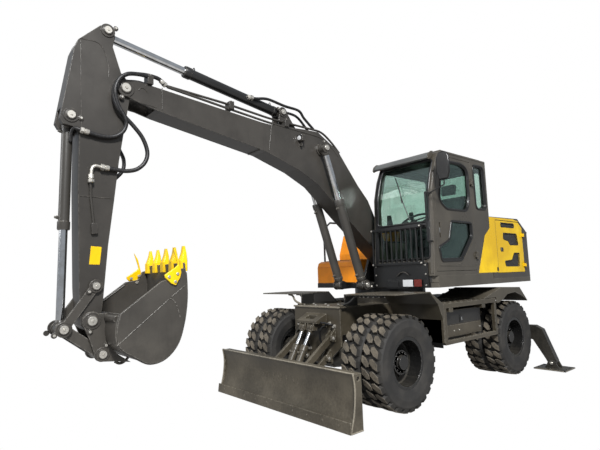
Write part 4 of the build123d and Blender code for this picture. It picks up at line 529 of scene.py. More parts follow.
dress(deck_two_tone_and_shade, "revolving_frame")
dress(yellow, "engine_door_left")
dress(orange, "tool_box", "fuel_tank")
dress(satin_black, "cab_guard", "rails")


def tinted(name, dark, light):
    """Green safety glass: a thin pane, a little uneven, that mirrors at a slant."""
    material, shader = new_material(name)
    haze = noise(here(), 3.0, 4.0)
    plug(shader, Base_Color=rgb(0.55, 0.78, 0.66), Roughness=haze * 0.05 + 0.01, IOR=1.45, Transmission_Weight=1.0)
    thick, thin = [Wire.node("BsdfTransparent", {"Color": rgb(*tint)}) for tint in (dark, light)]
    clear = Wire.node("MixShader", {0: haze.fade(0.3, 0.7), 1: thick, 2: thin})
    glossy = Wire.node("BsdfGlossy", {"Color": rgb(1, 1, 1), "Roughness": 0.02})
    body = Wire.node("MixShader", {0: Wire.node("Fresnel", {"IOR": 1.5}) * 0.4, 1: clear, 2: glossy})
    material.node_tree.links.new(body.socket, material.node_tree.nodes["Material Output"].inputs[0])
    return material


dress(tinted("tinted_glass", (0.78, 0.89, 0.84), (0.86, 0.94, 0.9)), "cab_glass")
dress(tinted("door_glass_tint", (0.52, 0.64, 0.59), (0.62, 0.74, 0.69)), "door_glass")

seat_black, shader = new_material("seat_and_console")
weave = noise(here(), 180.0, 3.0)
plug(shader, Base_Color=blend_colour(weave.fade(0.4, 0.6), rgb(0.018, 0.018, 0.019), rgb(0.04, 0.04, 0.042)),
    Roughness=0.8, Normal=bump(weave, 0.3, 0.002))
dress(seat_black, "cab_interior")

# ---- Boom, arm and bucket -------------------------------------------------------------------
# Box sections welded of thick plate, all in one dark warm grey, with lighter worn corners; the
# bucket's inside is rubbed, and its teeth and side cutters are painted yellow.

boom_grey = painted("boom_grey", (0.043, 0.039, 0.034), gloss=0.33, dust=0.2, streaks=0.2, wear=0.35,
    worn=(0.24, 0.22, 0.19))
bucket_grey = painted("bucket_grey", (0.055, 0.05, 0.043), gloss=0.38, dust=0.25, streaks=0.3,
    wear=0.75, worn=(0.33, 0.31, 0.28))
dress(boom_grey, "boom", "arm")
dress(bucket_grey, "bucket", "bucket_lever", "bucket_link")
dress(yellow, "bucket_teeth")

# ---- Bucket ---------------------------------------------------------------------------------
# A digging bucket bent from one sheet between two side plates, with a thick lip, weld beads
# along every joint, two ears on its back and a lifting hook below them.


def smooth_run(points, steps=6):
    """More points on an easy curve through these, the ends included."""
    ends = [points[0]] + list(points) + [points[-1]]
    run = []
    for a, b, c, d in zip(ends, ends[1:], ends[2:], ends[3:]):
        for step in range(steps):
            t = step / steps
            run.append(tuple(0.5 * (2 * q + (r - p) * t + (2 * p - 5 * q + 4 * r - s) * t * t
                + (3 * q - p - 3 * r + s) * t ** 3) for p, q, r, s in zip(a, b, c, d)))
    return run + [tuple(points[-1])]


def prism(name, outline, span, look, body, bevel=0.004, across="Y"):
    """A plate cut to an outline: in x and z across Y, in y and z across X, or in x and y across Z."""
    bm = bmesh.new()
    place = {"Y": lambda p, v: (p[0], v, p[1]), "X": lambda p, v: (v, *p), "Z": lambda p, v: (*p, v)}[across]
    low, high = [[bm.verts.new(place(p, v)) for p in outline] for v in sorted(span)]
    bm.faces.new(low)
    bm.faces.new(high)
    for k in range(len(outline)):
        j = (k + 1) % len(outline)
        bm.faces.new((low[k], low[j], high[j], high[k]))
    piece = fasten(bm, name, look, body)
    if bevel:
        edge = piece.modifiers.new("broken_edges", "BEVEL")
        edge.width = bevel
        edge.segments = 2
        edge.limit_method = "ANGLE"
        edge.angle_limit = radians(32)
    return piece


def level(y, run):
    """A run in x and z, at this y."""
    return [(x, y, z) for x, z in run]


def tube(name, points, radius, look, body, bend=None, closed=False, sides=2):
    """A hose through these points on an easy curve or, with a bend radius, a pipe of straight runs."""
    curve = bpy.data.curves.new(name, "CURVE")
    curve.dimensions = "3D"
    curve.bevel_depth = radius
    curve.bevel_resolution = sides
    curve.resolution_u = 5
    curve.use_fill_caps = True
    spline = curve.splines.new("BEZIER")
    points = [Vector(p) for p in points]
    if bend is None:
        spline.bezier_points.add(len(points) - 1)
        for knot, p in zip(spline.bezier_points, points):
            knot.co = p
            knot.handle_left_type = knot.handle_right_type = "AUTO"
    else:
        stops = []
        count = len(points)
        for k, p in enumerate(points):
            if not closed and k in (0, count - 1):
                stops.append((p, p, p))
                continue
            before, after = points[k - 1], points[(k + 1) % count]
            a = p + (before - p).normalized() * min(bend, (before - p).length * 0.48)
            b = p + (after - p).normalized() * min(bend, (after - p).length * 0.48)
            stops.append((a, a + (before - p).normalized() * 0.001, a + (p - a) * 0.55))
            stops.append((b, b + (p - b) * 0.55, b + (after - p).normalized() * 0.001))
        spline.bezier_points.add(len(stops) - 1)
        for knot, (p, back, ahead) in zip(spline.bezier_points, stops):
            knot.handle_left_type = knot.handle_right_type = "FREE"
            knot.co, knot.handle_left, knot.handle_right = p, back, ahead
    spline.use_cyclic_u = closed
    curve.materials.append(look)
    piece = bpy.data.objects.new(name, curve)
    bpy.context.scene.collection.objects.link(piece)
    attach(piece, body)


back_curve = smooth_run(((4.14, 1.262), (4.17, 1.12), (4.14, 0.978), (4.01, 0.88), (3.88, 0.812), (3.735, 0.838),
    (3.618, 0.955), (3.556, 1.14), (3.528, 1.34), (3.53, 1.52), (3.545, 1.69)), 5)
inner_curve = []
for number, (x, z) in enumerate(back_curve):
    x0, z0 = back_curve[max(0, number - 1)]
    x1, z1 = back_curve[min(len(back_curve) - 1, number + 1)]
    reach = 0.02 / hypot(x1 - x0, z1 - z0)
    inner_curve.append((x + (z1 - z0) * reach, z - (x1 - x0) * reach))
wrapper = prism("bucket_wrapper", back_curve + inner_curve[::-1], (-0.449, 0.449), bucket_grey, "bucket", 0.002)
ear_y, side_face, weld = 0.121, 0.4705, 0.0045
side_plate = [p for p in back_curve if p[1] < 1.5 or p[0] > 3.9] + [(3.548, 1.64), (3.6, 1.63), (3.65, 1.545),
    (3.778, 1.524)]
for side, word in SIDES:
    prism("bucket_side_" + word, side_plate, (side * 0.448, side * 0.47), bucket_grey, "bucket", 0.003)
    tube("bucket_corner_weld_" + word, level(side * 0.449, back_curve[:-3]), 0.009, bucket_grey, "bucket")
    tube("bucket_edge_bead_" + word, [(4.12, side * 0.452, 1.255), (3.79, side * 0.452, 1.492)], 0.011, bucket_grey,
        "bucket", bend=0.01)
    # the bead round the lower part of the side plate, which is doubled
    tube("bucket_side_seam_" + word, level(side * side_face,
        ((4.197 - 0.03, 1.0), (3.69, 1.377), (3.64, 1.31), (3.604, 1.19))), weld, bucket_grey, "bucket", bend=0.04)
    tube("bucket_side_seam_high_" + word, level(side * side_face, ((3.688, 1.379), (3.56, 1.472))), weld,
        bucket_grey, "bucket", bend=0.01)
    prism("bucket_ear_" + word, ((4.218, 1.257), (4.353, 1.179), (4.3, 1.05), (4.268, 0.96), (4.248, 0.892),
        (4.206, 0.84), (4.08, 0.826), (3.935, 0.8), (4.06, 0.89), (4.13, 0.985), (4.15, 1.12), (4.125, 1.256)),
        (side * ear_y, side * (ear_y + 0.03)), bucket_grey, "bucket", 0.003)
    bm = bmesh.new()
    for x, z, radius in ((4.278, 1.199, 0.08), (4.186, 0.902, 0.066)):
        eye_boss(bm, (x, side * (ear_y + 0.015), z), (0, 1, 0), 0.0155, radius)
    fasten(bm, "bucket_ear_bosses_" + word, bucket_grey, "bucket")
lathe("bucket_link_pin", (4.186, -0.157, 0.902), (4.186, 1.0, 0.902), ((0.0, 0.034), (0.314, 0.034)), chrome,
    "bucket")
tube("bucket_hook", level(0.0, ((3.9, 0.832), (3.935, 0.795), (3.985, 0.778), (4.03, 0.8))), 0.013, bucket_grey,
    "bucket", sides=3)
tube("bucket_cross_beam", ((4.15, -0.4, 1.215), (4.15, 0.4, 1.215)), 0.03, bucket_grey, "bucket", bend=0.01)
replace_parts(wrapper, "bucket")

# cast teeth on the lip, each pointed and slid over its adapter
bm = bmesh.new()
for number in range(5):
    y = (number - 2) * 0.198
    sections = ((-0.08, 0.036, 0.046, 0.0), (0.02, 0.036, 0.046, 0.0), (0.032, 0.032, 0.04, 0.004),
        (0.09, 0.02, 0.034, 0.012), (0.158, 0.006, 0.026, 0.01))
    rings = []
    for rise, half_t, half_w, lean in sections:
        x = 3.545 - lean
        ring = []
        for sx, sy in ((-1, -0.7), (-0.7, -1), (0.7, -1), (1, -0.7), (1, 0.7), (0.7, 1), (-0.7, 1), (-1, 0.7)):
            ring.append(bm.verts.new((x + sx * half_t, y + sy * half_w, 1.69 + rise)))
        rings.append(ring)
    skin(bm, rings)
    for side in (-1, 1):
        nut(bm, (3.545, y + side * 0.046, 1.672), (0, side, 0), 0.01, 0.006)
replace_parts(fasten(bm, "bucket_tooth_castings", yellow, "bucket"), "bucket_teeth")

# side cutters, bolted on with bright nuts
zinc, shader = new_material("zinc_plate")
spangle = noise(here(), 90.0, 4.0)
plug(shader, Base_Color=blend_colour(spangle.fade(0.35, 0.65), rgb(0.7, 0.68, 0.62), rgb(0.5, 0.47, 0.42)),
    Metallic=0.75, Roughness=spangle * 0.3 + 0.22)
for side, word in SIDES:
    prism("side_cutter_" + word, ((3.682, 1.83), (3.64, 1.7), (3.633, 1.665), (3.66, 1.64), (3.759, 1.577),
        (3.756, 1.555), (3.7, 1.5), (3.654, 1.48), (3.612, 1.55), (3.6, 1.6), (3.64, 1.76)),
        (side * side_face, side * 0.492), yellow, "bucket")
    bm = bmesh.new()
    for x, z in ((3.64, 1.585), (3.662, 1.515), (3.722, 1.56)):
        nut(bm, (x, side * 0.492, z), (0, side, 0), 0.015, 0.01)
        nut(bm, (x, side * 0.448, z), (0, -side, 0), 0.016, 0.012)
    fasten(bm, "side_cutter_bolts_" + word, zinc, "bucket", smooth=25.0)

# ---- Pins -----------------------------------------------------------------------------------
# Hardened pins through every boss, each with a turned collar, a bright ground end with its
# grease nipple, and a small round keeper with one bolt.

pins = (
    # body, x, z, y of the boss's face, radius, direction of the keeper in degrees
    ("arm", 4.17, 3.93, 0.116, 0.036, 150), ("boom", 4.002, 3.389, 0.139, 0.045, -70),
    ("arm", 4.476, 3.029, 0.116, 0.036, 190), ("boom_rods", 1.459, 3.173, 0.26, 0.036, 60),
    ("upper", 0.83, 1.38, 0.286, 0.036, 200), ("boom", 2.018, 3.591, 0.076, 0.034, 20),
    ("arm", 4.246, 1.499, 0.142, 0.032, -40), ("arm", 4.278, 1.199, 0.152, 0.04, -80),
    ("bucket", 4.186, 0.902, 0.152, 0.034, 110), ("lever", 4.499, 1.144, 0.141, 0.036, -30),
    ("upper", 0.15, 1.72, 0.184, 0.048, 100),
)
for number, (body, x, z, y, radius, keeper) in enumerate(pins):
    collars, ends = bmesh.new(), bmesh.new()
    lean = radians(keeper)
    for side in (1, -1):
        start, out = Vector((x, side * (y - 0.002), z)), Vector((x, side * 2.0, z))
        turned(collars, start, out, ((0.0, radius * 1.85), (0.008, radius * 1.85), (0.011, radius * 1.78),
            (0.011, radius * 1.25), (0.02, radius * 1.22), (0.022, radius * 1.15)), 28)
        turned(ends, start, out, ((0.018, radius * 1.0), (0.026, radius * 1.0), (0.029, radius * 0.92),
            (0.029, radius * 0.34), (0.033, radius * 0.3), (0.036, radius * 0.22)), 28)
        at_bolt = Vector((x + cos(lean) * radius * 2.35, side * (y + 0.002), z + sin(lean) * radius * 2.35))
        nut(ends, at_bolt + Vector((0, side * 0.008, 0)), (0, side, 0), 0.013, 0.012)
        turned(collars, Vector((at_bolt.x, side * (y - 0.002), at_bolt.z)),
            Vector((at_bolt.x, side * 2.0, at_bolt.z)), ((0.0, 0.024), (0.011, 0.024), (0.012, 0.022)), 16)
    fasten(collars, "pin_collars_%d" % number, boom_grey, body)
    fasten(ends, "pin_ends_%d" % number, zinc, body)

# ---- Hoses and pipes of the boom and arm ----------------------------------------------------
# Two steel pipes run along the boom's top; rubber hoses hang in a loop past the arm's pin, and
# others feed the arm ram, with bright swaged fittings at every end.

hose_rubber, shader = new_material("hose_rubber")
cover = noise(here(), 60.0, 5.0)
plug(shader, Base_Color=blend_colour(cover.fade(0.45, 0.7), rgb(0.006, 0.006, 0.007), rgb(0.024, 0.022, 0.02)),
    Roughness=cover * 0.25 + 0.36, Normal=bump(cover, 0.35, 0.002))


def flex(name, points, radius):
    """A hose swept along an easy curve."""
    path = [Vector(p) for p in smooth_run(points, 7)]
    bm = bmesh.new()
    sides = 12
    across = Vector((0.13, 1.0, 0.21))
    rings = []
    for number, p in enumerate(path):
        along = (path[min(number + 1, len(path) - 1)] - path[max(number - 1, 0)]).normalized()
        across = (across - along * across.dot(along)).normalized()
        third = along.cross(across)
        rings.append([bm.verts.new(p + (across * cos(2 * pi * k / sides)
            + third * sin(2 * pi * k / sides)) * radius) for k in range(sides)])
    skin(bm, rings)
    piece = finish_mesh(bm, name, hose_rubber, 60.0)
    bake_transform(piece)


def bolts(name, places, axis, radius, height, look, body):
    """Bolt heads or studs at these places, all in one piece."""
    bm = bmesh.new()
    for place in places:
        nut(bm, place, axis, radius, height)
    fasten(bm, name, look, body, smooth=25.0)


def fitting(name, at, towards, radius, body, length=0.075):
    """A swaged hose end with its hexagon, pointing from the hose to its port."""
    at, towards = Vector(at), Vector(towards)
    bm = bmesh.new()
    turned(bm, at, towards, ((0.0, radius * 1.18), (0.004, radius * 1.3), (length * 0.5, radius * 1.3),
        (length * 0.52, radius * 1.0), (length * 0.68, radius * 1.0)), 20)
    way = (towards - at).normalized()
    nut(bm, at + way * length * 0.66, way, radius * 1.55, length * 0.34)
    fasten(bm, name, zinc, body)


upper_run = ((3.6, 3.535), (2.844, 3.504), (2.243, 3.454), (1.597, 3.446), (1.387, 3.445), (1.207, 3.333),
    (1.06, 3.2))
lower_run = ((3.578, 3.509), (2.863, 3.439), (2.268, 3.385), (1.678, 3.363), (1.43, 3.35), (1.23, 3.24),
    (1.11, 3.13))
for name, y, path in (("boom_pipe_upper", 0.1, upper_run), ("boom_pipe_lower", 0.132, lower_run),
        ("boom_pipe_right", -0.1, upper_run)):
    tube(name, level(y, path), 0.014, boom_grey, "boom", bend=0.08)
for x, z in ((3.764, 3.545), (2.82, 3.492), (2.02, 3.44)):
    block_outline = ((x - 0.03, z - 0.06), (x + 0.03, z - 0.062), (x + 0.03, z + 0.03), (x - 0.03, z + 0.034))
    prism("pipe_clamp_%d" % round(x * 100), block_outline, (0.06, 0.165), boom_grey, "boom")
    bolts("pipe_clamp_bolts_%d" % round(x * 100), [(x, y, z + 0.03) for y in (0.078, 0.148)], (0, 0, 1), 0.011,
        0.01, zinc, "boom")

loop_a = ((3.6, 0.1, 3.536), (3.656, 0.111, 3.581), (3.769, 0.126, 3.583), (3.889, 0.141, 3.561),
    (3.994, 0.156, 3.527), (4.083, 0.166, 3.438), (4.125, 0.17, 3.315), (4.101, 0.17, 3.191), (4.033, 0.17, 3.105),
    (3.926, 0.17, 3.005), (3.845, 0.17, 2.908), (3.799, 0.17, 2.783), (3.819, 0.17, 2.678), (3.891, 0.163, 2.6),
    (3.985, 0.155, 2.569), (4.078, 0.15, 2.569), (4.179, 0.15, 2.575))
loop_b = ((3.764, 0.14, 3.56), (3.88, 0.17, 3.548), (4.005, 0.19, 3.511), (4.082, 0.19, 3.44), (4.118, 0.19, 3.32),
    (4.085, 0.18, 3.191), (4.017, 0.18, 3.075), (4.008, 0.17, 3.0), (4.047, 0.16, 2.925), (4.128, 0.15, 2.879),
    (4.237, 0.15, 2.869), (4.36, 0.15, 2.89))
loop_c = ((3.58, -0.1, 3.54), (3.76, -0.085, 3.58), (3.93, -0.065, 3.545), (4.051, -0.05, 3.472),
    (4.089, -0.16, 3.399), (4.132, -0.165, 3.268), (4.112, -0.165, 3.161), (4.063, -0.165, 3.069),
    (4.003, -0.165, 2.988), (3.96, -0.165, 2.868), (3.914, -0.16, 2.763), (3.919, -0.155, 2.653),
    (3.982, -0.15, 2.567), (4.045, -0.145, 2.516), (4.15, -0.14, 2.53))
for name, path, radius in (("arm_hose_outer", loop_a, 0.02), ("arm_hose_inner", loop_b, 0.019),
        ("arm_hose_right", loop_c, 0.019)):
    flex(name, path, radius)
fitting("boom_fitting_a", (3.64, 0.106, 3.572), (3.57, 0.098, 3.53), 0.019, "boom")
fitting("arm_fitting_a", (4.15, 0.15, 2.574), (4.23, 0.15, 2.58), 0.02, "arm")
fitting("arm_fitting_b", (4.33, 0.15, 2.884), (4.42, 0.15, 2.9), 0.019, "arm")
fitting("arm_fitting_c", (4.12, -0.14, 2.525), (4.21, -0.138, 2.54), 0.019, "arm")
tube("arm_elbow_a", ((4.215, 0.15, 2.579), (4.3, 0.15, 2.59), (4.306, 0.15, 2.47)), 0.014, zinc, "arm", bend=0.05,
    sides=4)
fitting("arm_fitting_a_down", (4.306, 0.15, 2.5), (4.306, 0.15, 2.4), 0.018, "arm")
tube("arm_pipe_left", ((4.306, 0.14, 2.44), (4.3, 0.128, 2.3), (4.272, 0.128, 2.06)), 0.012, boom_grey, "arm",
    bend=0.04)
tube("arm_pipe_right", ((4.195, -0.137, 2.537), (4.27, -0.135, 2.48), (4.262, -0.13, 2.06)), 0.012, boom_grey,
    "arm", bend=0.05)
flex("bucket_ram_hose", ((4.4, 0.146, 2.897), (4.447, 0.12, 2.912), (4.462, 0.08, 2.875), (4.461, 0.052, 2.803)),
    0.016)
for side, word in SIDES:
    prism("arm_port_block_" + word, ((4.235, 1.965), (4.29, 1.96), (4.293, 2.06), (4.24, 2.065)),
        (side * 0.113, side * 0.145), boom_grey, "arm")
feed = ((2.552, 0.084, 3.662), (2.435, 0.086, 3.668), (2.258, 0.09, 3.7), (2.007, 0.104, 3.664),
    (1.739, 0.06, 3.674), (1.641, 0.05, 3.594), (1.49, 0.06, 3.47))
back = ((2.065, -0.086, 3.64), (1.96, -0.098, 3.662), (1.823, -0.06, 3.66), (1.674, -0.05, 3.631),
    (1.523, -0.06, 3.519), (1.44, -0.07, 3.44))
for number, path in enumerate((feed, back)):
    flex("arm_ram_hose_%d" % number, path, 0.017)
    fitting("arm_ram_fitting_%d" % number, path[0], path[1], 0.021, "arm_barrel")

# ---- Plates and seams of the boom and arm ---------------------------------------------------
# The box sections show a bead of weld where their plates meet and round a doubled plate, and
# the arm carries one blank yellow plate.

boom_face, arm_face = 0.1395, 0.1155
boom_seams = (
    ((3.635, 3.484), (3.635, 3.251)), ((2.241, 3.385), (2.297, 3.035)),
    ((3.995, 3.316), (3.876, 3.276), (3.689, 3.262)),
    # the arc over the pin at the boom's tip
    ((3.877, 3.397), (3.862, 3.425), (3.836, 3.433), (3.805, 3.425), (3.784, 3.393)),
)
arm_seams = (
    # the edge of the crest's doubled plate, the line behind it and the band above the foot
    ((4.411, 3.773), (4.286, 3.789), (4.231, 3.771), (4.193, 3.711), (4.15, 3.56), (4.158, 3.47)),
    ((4.408, 3.756), (4.397, 3.266), (4.386, 2.885)), ((4.12, 2.3), (4.388, 2.3)),
)
for side, word in SIDES:
    for number, line in enumerate(boom_seams):
        tube("boom_seam_%s_%d" % (word, number), level(side * boom_face, line), weld, boom_grey, "boom", bend=0.02)
    for number, line in enumerate(arm_seams):
        tube("arm_seam_%s_%d" % (word, number), level(side * arm_face, line), weld, boom_grey, "arm", bend=0.05)
for x, z in ((3.58, 3.247), (2.42, 3.026)):
    tube("boom_belly_seam_%d" % round(x * 100), ((x, -0.13, z), (x, 0.13, z)), 0.005, boom_grey, "boom", bend=0.02)
prism("arm_blank_plate", ((4.287, 1.855), (4.195, 1.848), (4.21, 1.687), (4.301, 1.692)), (0.1145, 0.1175), yellow,
    "arm", 0.0012)

# ---- Cab trim -------------------------------------------------------------------------------
# Black rubber seals with round corners at every window, a black bar across the windscreen, a
# visor over it, lamps, mirror, wiper, and seat, wheel and levers inside.


def rect(a0, a1, b0, b1):
    """A rectangle's corners, for a plate's outline."""
    return ((a0, b0), (a1, b0), (a1, b1), (a0, b1))


def cab_front(z):
    """The windscreen's x at this height."""
    line = ((0.669, 1.475), (0.639, 1.91), (0.618, 2.283), (0.61, 2.535), (0.537, 2.798), (0.418, 3.049),
        (0.33, 3.083))
    for (x0, z0), (x1, z1) in zip(line, line[1:]):
        if z <= z1:
            return x0 + (x1 - x0) * (z - z0) / (z1 - z0)
    return line[-1][0]


def fluted(name, dark, light, gloss, metallic):
    """A moulded lamp lens, with flutes over its height."""
    material, shader = new_material(name)
    flutes = Wire.node("TexWave", {"Vector": here(), "Scale": 40.0}, bands_direction="Z")
    plug(shader, Base_Color=blend_colour(flutes.fade(0.2, 0.8), rgb(*dark), rgb(*light)),
        Roughness=flutes * 0.15 + gloss, Metallic=metallic)
    return material


lens = fluted("clear_lamp_lens", (0.75, 0.77, 0.78), (0.95, 0.95, 0.95), 0.06, 0.35)
red_lens = fluted("red_lamp_lens", (0.1, 0.012, 0.01), (0.2, 0.03, 0.02), 0.1, 0.0)

upper_pane = ((0.362, 2.952), (0.47, 2.421), (0.325, 2.316), (-0.186, 2.325), (-0.26, 2.481), (-0.267, 2.901),
    (-0.124, 2.965))
lower_pane = ((0.228, 2.167), (-0.266, 2.165), (-0.265, 1.974), (0.031, 1.664), (0.496, 1.653), (0.541, 1.826),
    (0.306, 1.919))
side_pane = ((-0.413, 2.99), (-0.7, 2.995), (-0.71, 2.378), (-0.429, 2.369))
right_pane = ((0.38, 2.93), (0.52, 2.42), (0.52, 1.95), (-0.68, 1.95), (-0.68, 2.96), (0.33, 2.96))
for name, outline, y, inner_y, bend, body in (("door_seal_upper", upper_pane, 1.238, 1.226, 0.065, "cab_door"),
        ("door_seal_lower", lower_pane, 1.238, 1.226, 0.03, "cab_door"),
        ("side_seal", side_pane, 1.238, 1.226, 0.065, "upper"),
        ("right_seal", right_pane, 0.302, 0.314, 0.065, "upper")):
    tube(name, level(y, outline), 0.016, satin_black, body, bend=bend, closed=True)
    tube(name + "_inner", [(x * 0.975 + 0.002, inner_y, z * 0.975 + 0.062) for x, z in outline], 0.014, satin_black,
        body, bend=bend, closed=True)
for number, (z0, z1) in enumerate(((1.69, 2.085), (2.15, 2.96))):
    heights = [z0 + (z1 - z0) * k / 6 for k in range(7)]
    loop = [(cab_front(z) - 0.004, 0.362, z) for z in heights] + [(cab_front(z) - 0.004, 1.178, z)
        for z in reversed(heights)]
    tube("screen_seal_%d" % number, loop, 0.017, satin_black, "upper", bend=0.045, closed=True)
bar_heights = (2.07, 2.1, 2.135, 2.165)
prism("screen_cross_bar", [(cab_front(z) + 0.006, z) for z in bar_heights]
    + [(cab_front(z) - 0.02, z) for z in reversed(bar_heights)], (0.345, 1.195), satin_black, "upper")
edges = [1.5, 1.91, 2.283, 2.535, 2.7, 2.798, 2.9, 2.99]
for y, word in ((0.338, "right"), (1.202, "left")):
    prism("screen_pillar_" + word, [(cab_front(z) + 0.004, z) for z in edges]
        + [(cab_front(z) - 0.03, z) for z in reversed(edges)], (y - 0.026, y + 0.026),
        satin_black if word == "right" else cab_brown, "upper", 0.006)
visor = ((0.43, 3.072), (0.47, 3.066), (0.52, 3.03), (0.54, 2.985), (0.52, 2.965), (0.48, 2.985), (0.44, 3.03))
visor_grey = painted("visor_grey", (0.105, 0.108, 0.105), gloss=0.3, dust=0.15, streaks=0.05, wear=0.1)
prism("roof_visor", visor, (0.262, 1.15), visor_grey, "upper", 0.008)
for y, word in ((0.248, "right"), (1.152, "left")):
    grown = [(0.485 + (x - 0.485) * 1.2, 3.015 + (z - 3.015) * 1.2) for x, z in visor]
    prism("visor_end_" + word, grown, (y, y + 0.014), cab_brown, "upper", 0.003)
tube("door_drip_rail", level(1.236, ((0.56, 2.79), (0.442, 3.04), (0.345, 3.066), (-0.76, 3.066))), 0.011,
    cab_brown, "upper", bend=0.08)
prism("cab_roof_cap", ((-0.74, 3.075), (0.31, 3.075), (0.33, 3.06), (0.3, 3.11), (-0.7, 3.11)), (0.345, 1.195),
    cab_brown, "upper", 0.01)
tube("wiper_arm", ((cab_front(2.19) + 0.012, 0.9, 2.19), (cab_front(2.45) + 0.02, 0.8, 2.45),
    (cab_front(2.7) + 0.02, 0.7, 2.7)), 0.006, satin_black, "upper", bend=0.02)
swept = ((0.78, 2.44), (0.76, 2.56), (0.7, 2.69), (0.64, 2.8))
tube("wiper_blade", [(cab_front(z) + 0.012, y, z) for y, z in swept], 0.007, satin_black, "upper", bend=0.02)
door_face = 1.2405
prism("door_latch", rect(0.49, 0.502, 2.01, 2.07), (1.232, 1.24), chrome, "cab_door", 0.002)
tube("door_lower_seam", ((0.56, door_face, 1.59), (-0.3, door_face, 1.59)), 0.004, cab_brown, "cab_door", bend=0.01)
tube("door_crease", level(door_face, ((0.548, 1.6), (0.2, 1.6), (0.02, 1.63), (-0.29, 1.93))), 0.004, cab_brown,
    "cab_door", bend=0.03)
bm = bmesh.new()
for y in (0.322, 1.096):
    for z in (1.64, 2.1):
        nut(bm, (0.722, y, z), (1, 0, 0), 0.013, 0.01)
for y in (0.345, 1.13):
    for z in (1.365, 1.5, 1.612):
        nut(bm, (0.695, y, z), (1, 0, 0), 0.011, 0.008)
fasten(bm, "guard_bolts", zinc, "upper", smooth=25.0)
prism("lamp_white", rect(0.795, 0.948, 1.346, 1.434), (0.714, 0.722), lens, "upper", across="X")
prism("lamp_red", rect(0.966, 1.076, 1.346, 1.434), (0.714, 0.722), red_lens, "upper", across="X")
tube("lamp_arc", ((0.716, 0.7, 1.48), (0.716, 0.76, 1.522), (0.716, 0.83, 1.528), (0.716, 0.89, 1.49)), 0.007,
    boom_grey, "upper")
prism("mirror_shell", ((1.372, 2.632), (1.49, 2.632), (1.52, 2.72), (1.52, 2.9), (1.49, 2.965), (1.43, 2.985),
    (1.372, 2.965), (1.342, 2.9), (1.342, 2.72)), (0.622, 0.656), satin_black, "upper", 0.014, across="X")
mirror_glass, shader = new_material("mirror_glass")
film = noise(here(), 12.0, 4.0)
plug(shader, Base_Color=blend_colour(film.fade(0.4, 0.7), rgb(0.86, 0.88, 0.89), rgb(0.66, 0.67, 0.68)),
    Metallic=1.0, Roughness=film * 0.12 + 0.01)
prism("mirror_glass", ((1.38, 2.652), (1.482, 2.652), (1.505, 2.725), (1.505, 2.895), (1.43, 2.962), (1.357, 2.895),
    (1.357, 2.725)), (0.6165, 0.622), mirror_glass, "upper", 0.001, across="X")

prism("seat_cushion", ((-0.44, 1.962), (-0.43, 2.06), (-0.3, 2.085), (-0.02, 2.065), (0.01, 2.01), (-0.02, 1.975)),
    (0.555, 0.985), seat_black, "upper", 0.03)
prism("seat_backrest", ((-0.42, 2.03), (-0.33, 2.04), (-0.39, 2.3), (-0.47, 2.56), (-0.52, 2.6), (-0.56, 2.58)),
    (0.565, 0.975), seat_black, "upper", 0.028)
prism("seat_headrest", ((-0.56, 2.64), (-0.49, 2.65), (-0.51, 2.79), (-0.56, 2.8), (-0.59, 2.77)), (0.66, 0.88),
    seat_black, "upper", 0.024)
for y0, y1, word in ((0.43, 0.5, "right"), (1.04, 1.11, "left")):
    prism("armrest_" + word, ((-0.42, 2.17), (-0.04, 2.19), (0.0, 2.225), (-0.06, 2.25), (-0.42, 2.235)), (y0, y1),
        seat_black, "upper", 0.018)
    y = (y0 + y1) / 2
    tube("joystick_" + word, ((-0.03, y, 2.13), (-0.02, y, 2.26), (-0.005, y, 2.31), (0.0, y, 2.37)), 0.014,
        seat_black, "upper", sides=4)
    prism("joystick_grip_" + word, ((-0.03, 2.28), (0.022, 2.285), (0.026, 2.385), (-0.01, 2.4), (-0.036, 2.375)),
        (y - 0.024, y + 0.024), seat_black, "upper", 0.012)
rim = [(0.33 + 0.19 * cos(a) * 0.86, 0.77 + 0.19 * sin(a), 2.225 - 0.19 * cos(a) * 0.5)
    for a in [2 * pi * k / 16 for k in range(16)]]
tube("steering_wheel", rim, 0.015, seat_black, "upper", closed=True, bend=0.03, sides=4)
for k in (0, 5, 11):
    tube("steering_spoke_%d" % k, ((0.335, 0.77, 2.222), rim[k]), 0.01, seat_black, "upper", bend=0.01)
tube("steering_column", ((0.335, 0.77, 2.222), (0.4, 0.77, 2.12)), 0.028, seat_black, "upper", bend=0.01, sides=4)
prism("monitor", ((0.33, 2.16), (0.44, 2.18), (0.43, 2.33), (0.37, 2.335)), (0.365, 0.4), seat_black, "upper",
    0.008)

# ---- Hood trim ------------------------------------------------------------------------------
# Yellow sheet goes on past the door, over its top and on to the cab's lower rear corner; the
# sunk grilles hold black mesh, and the doors have black flush latches.

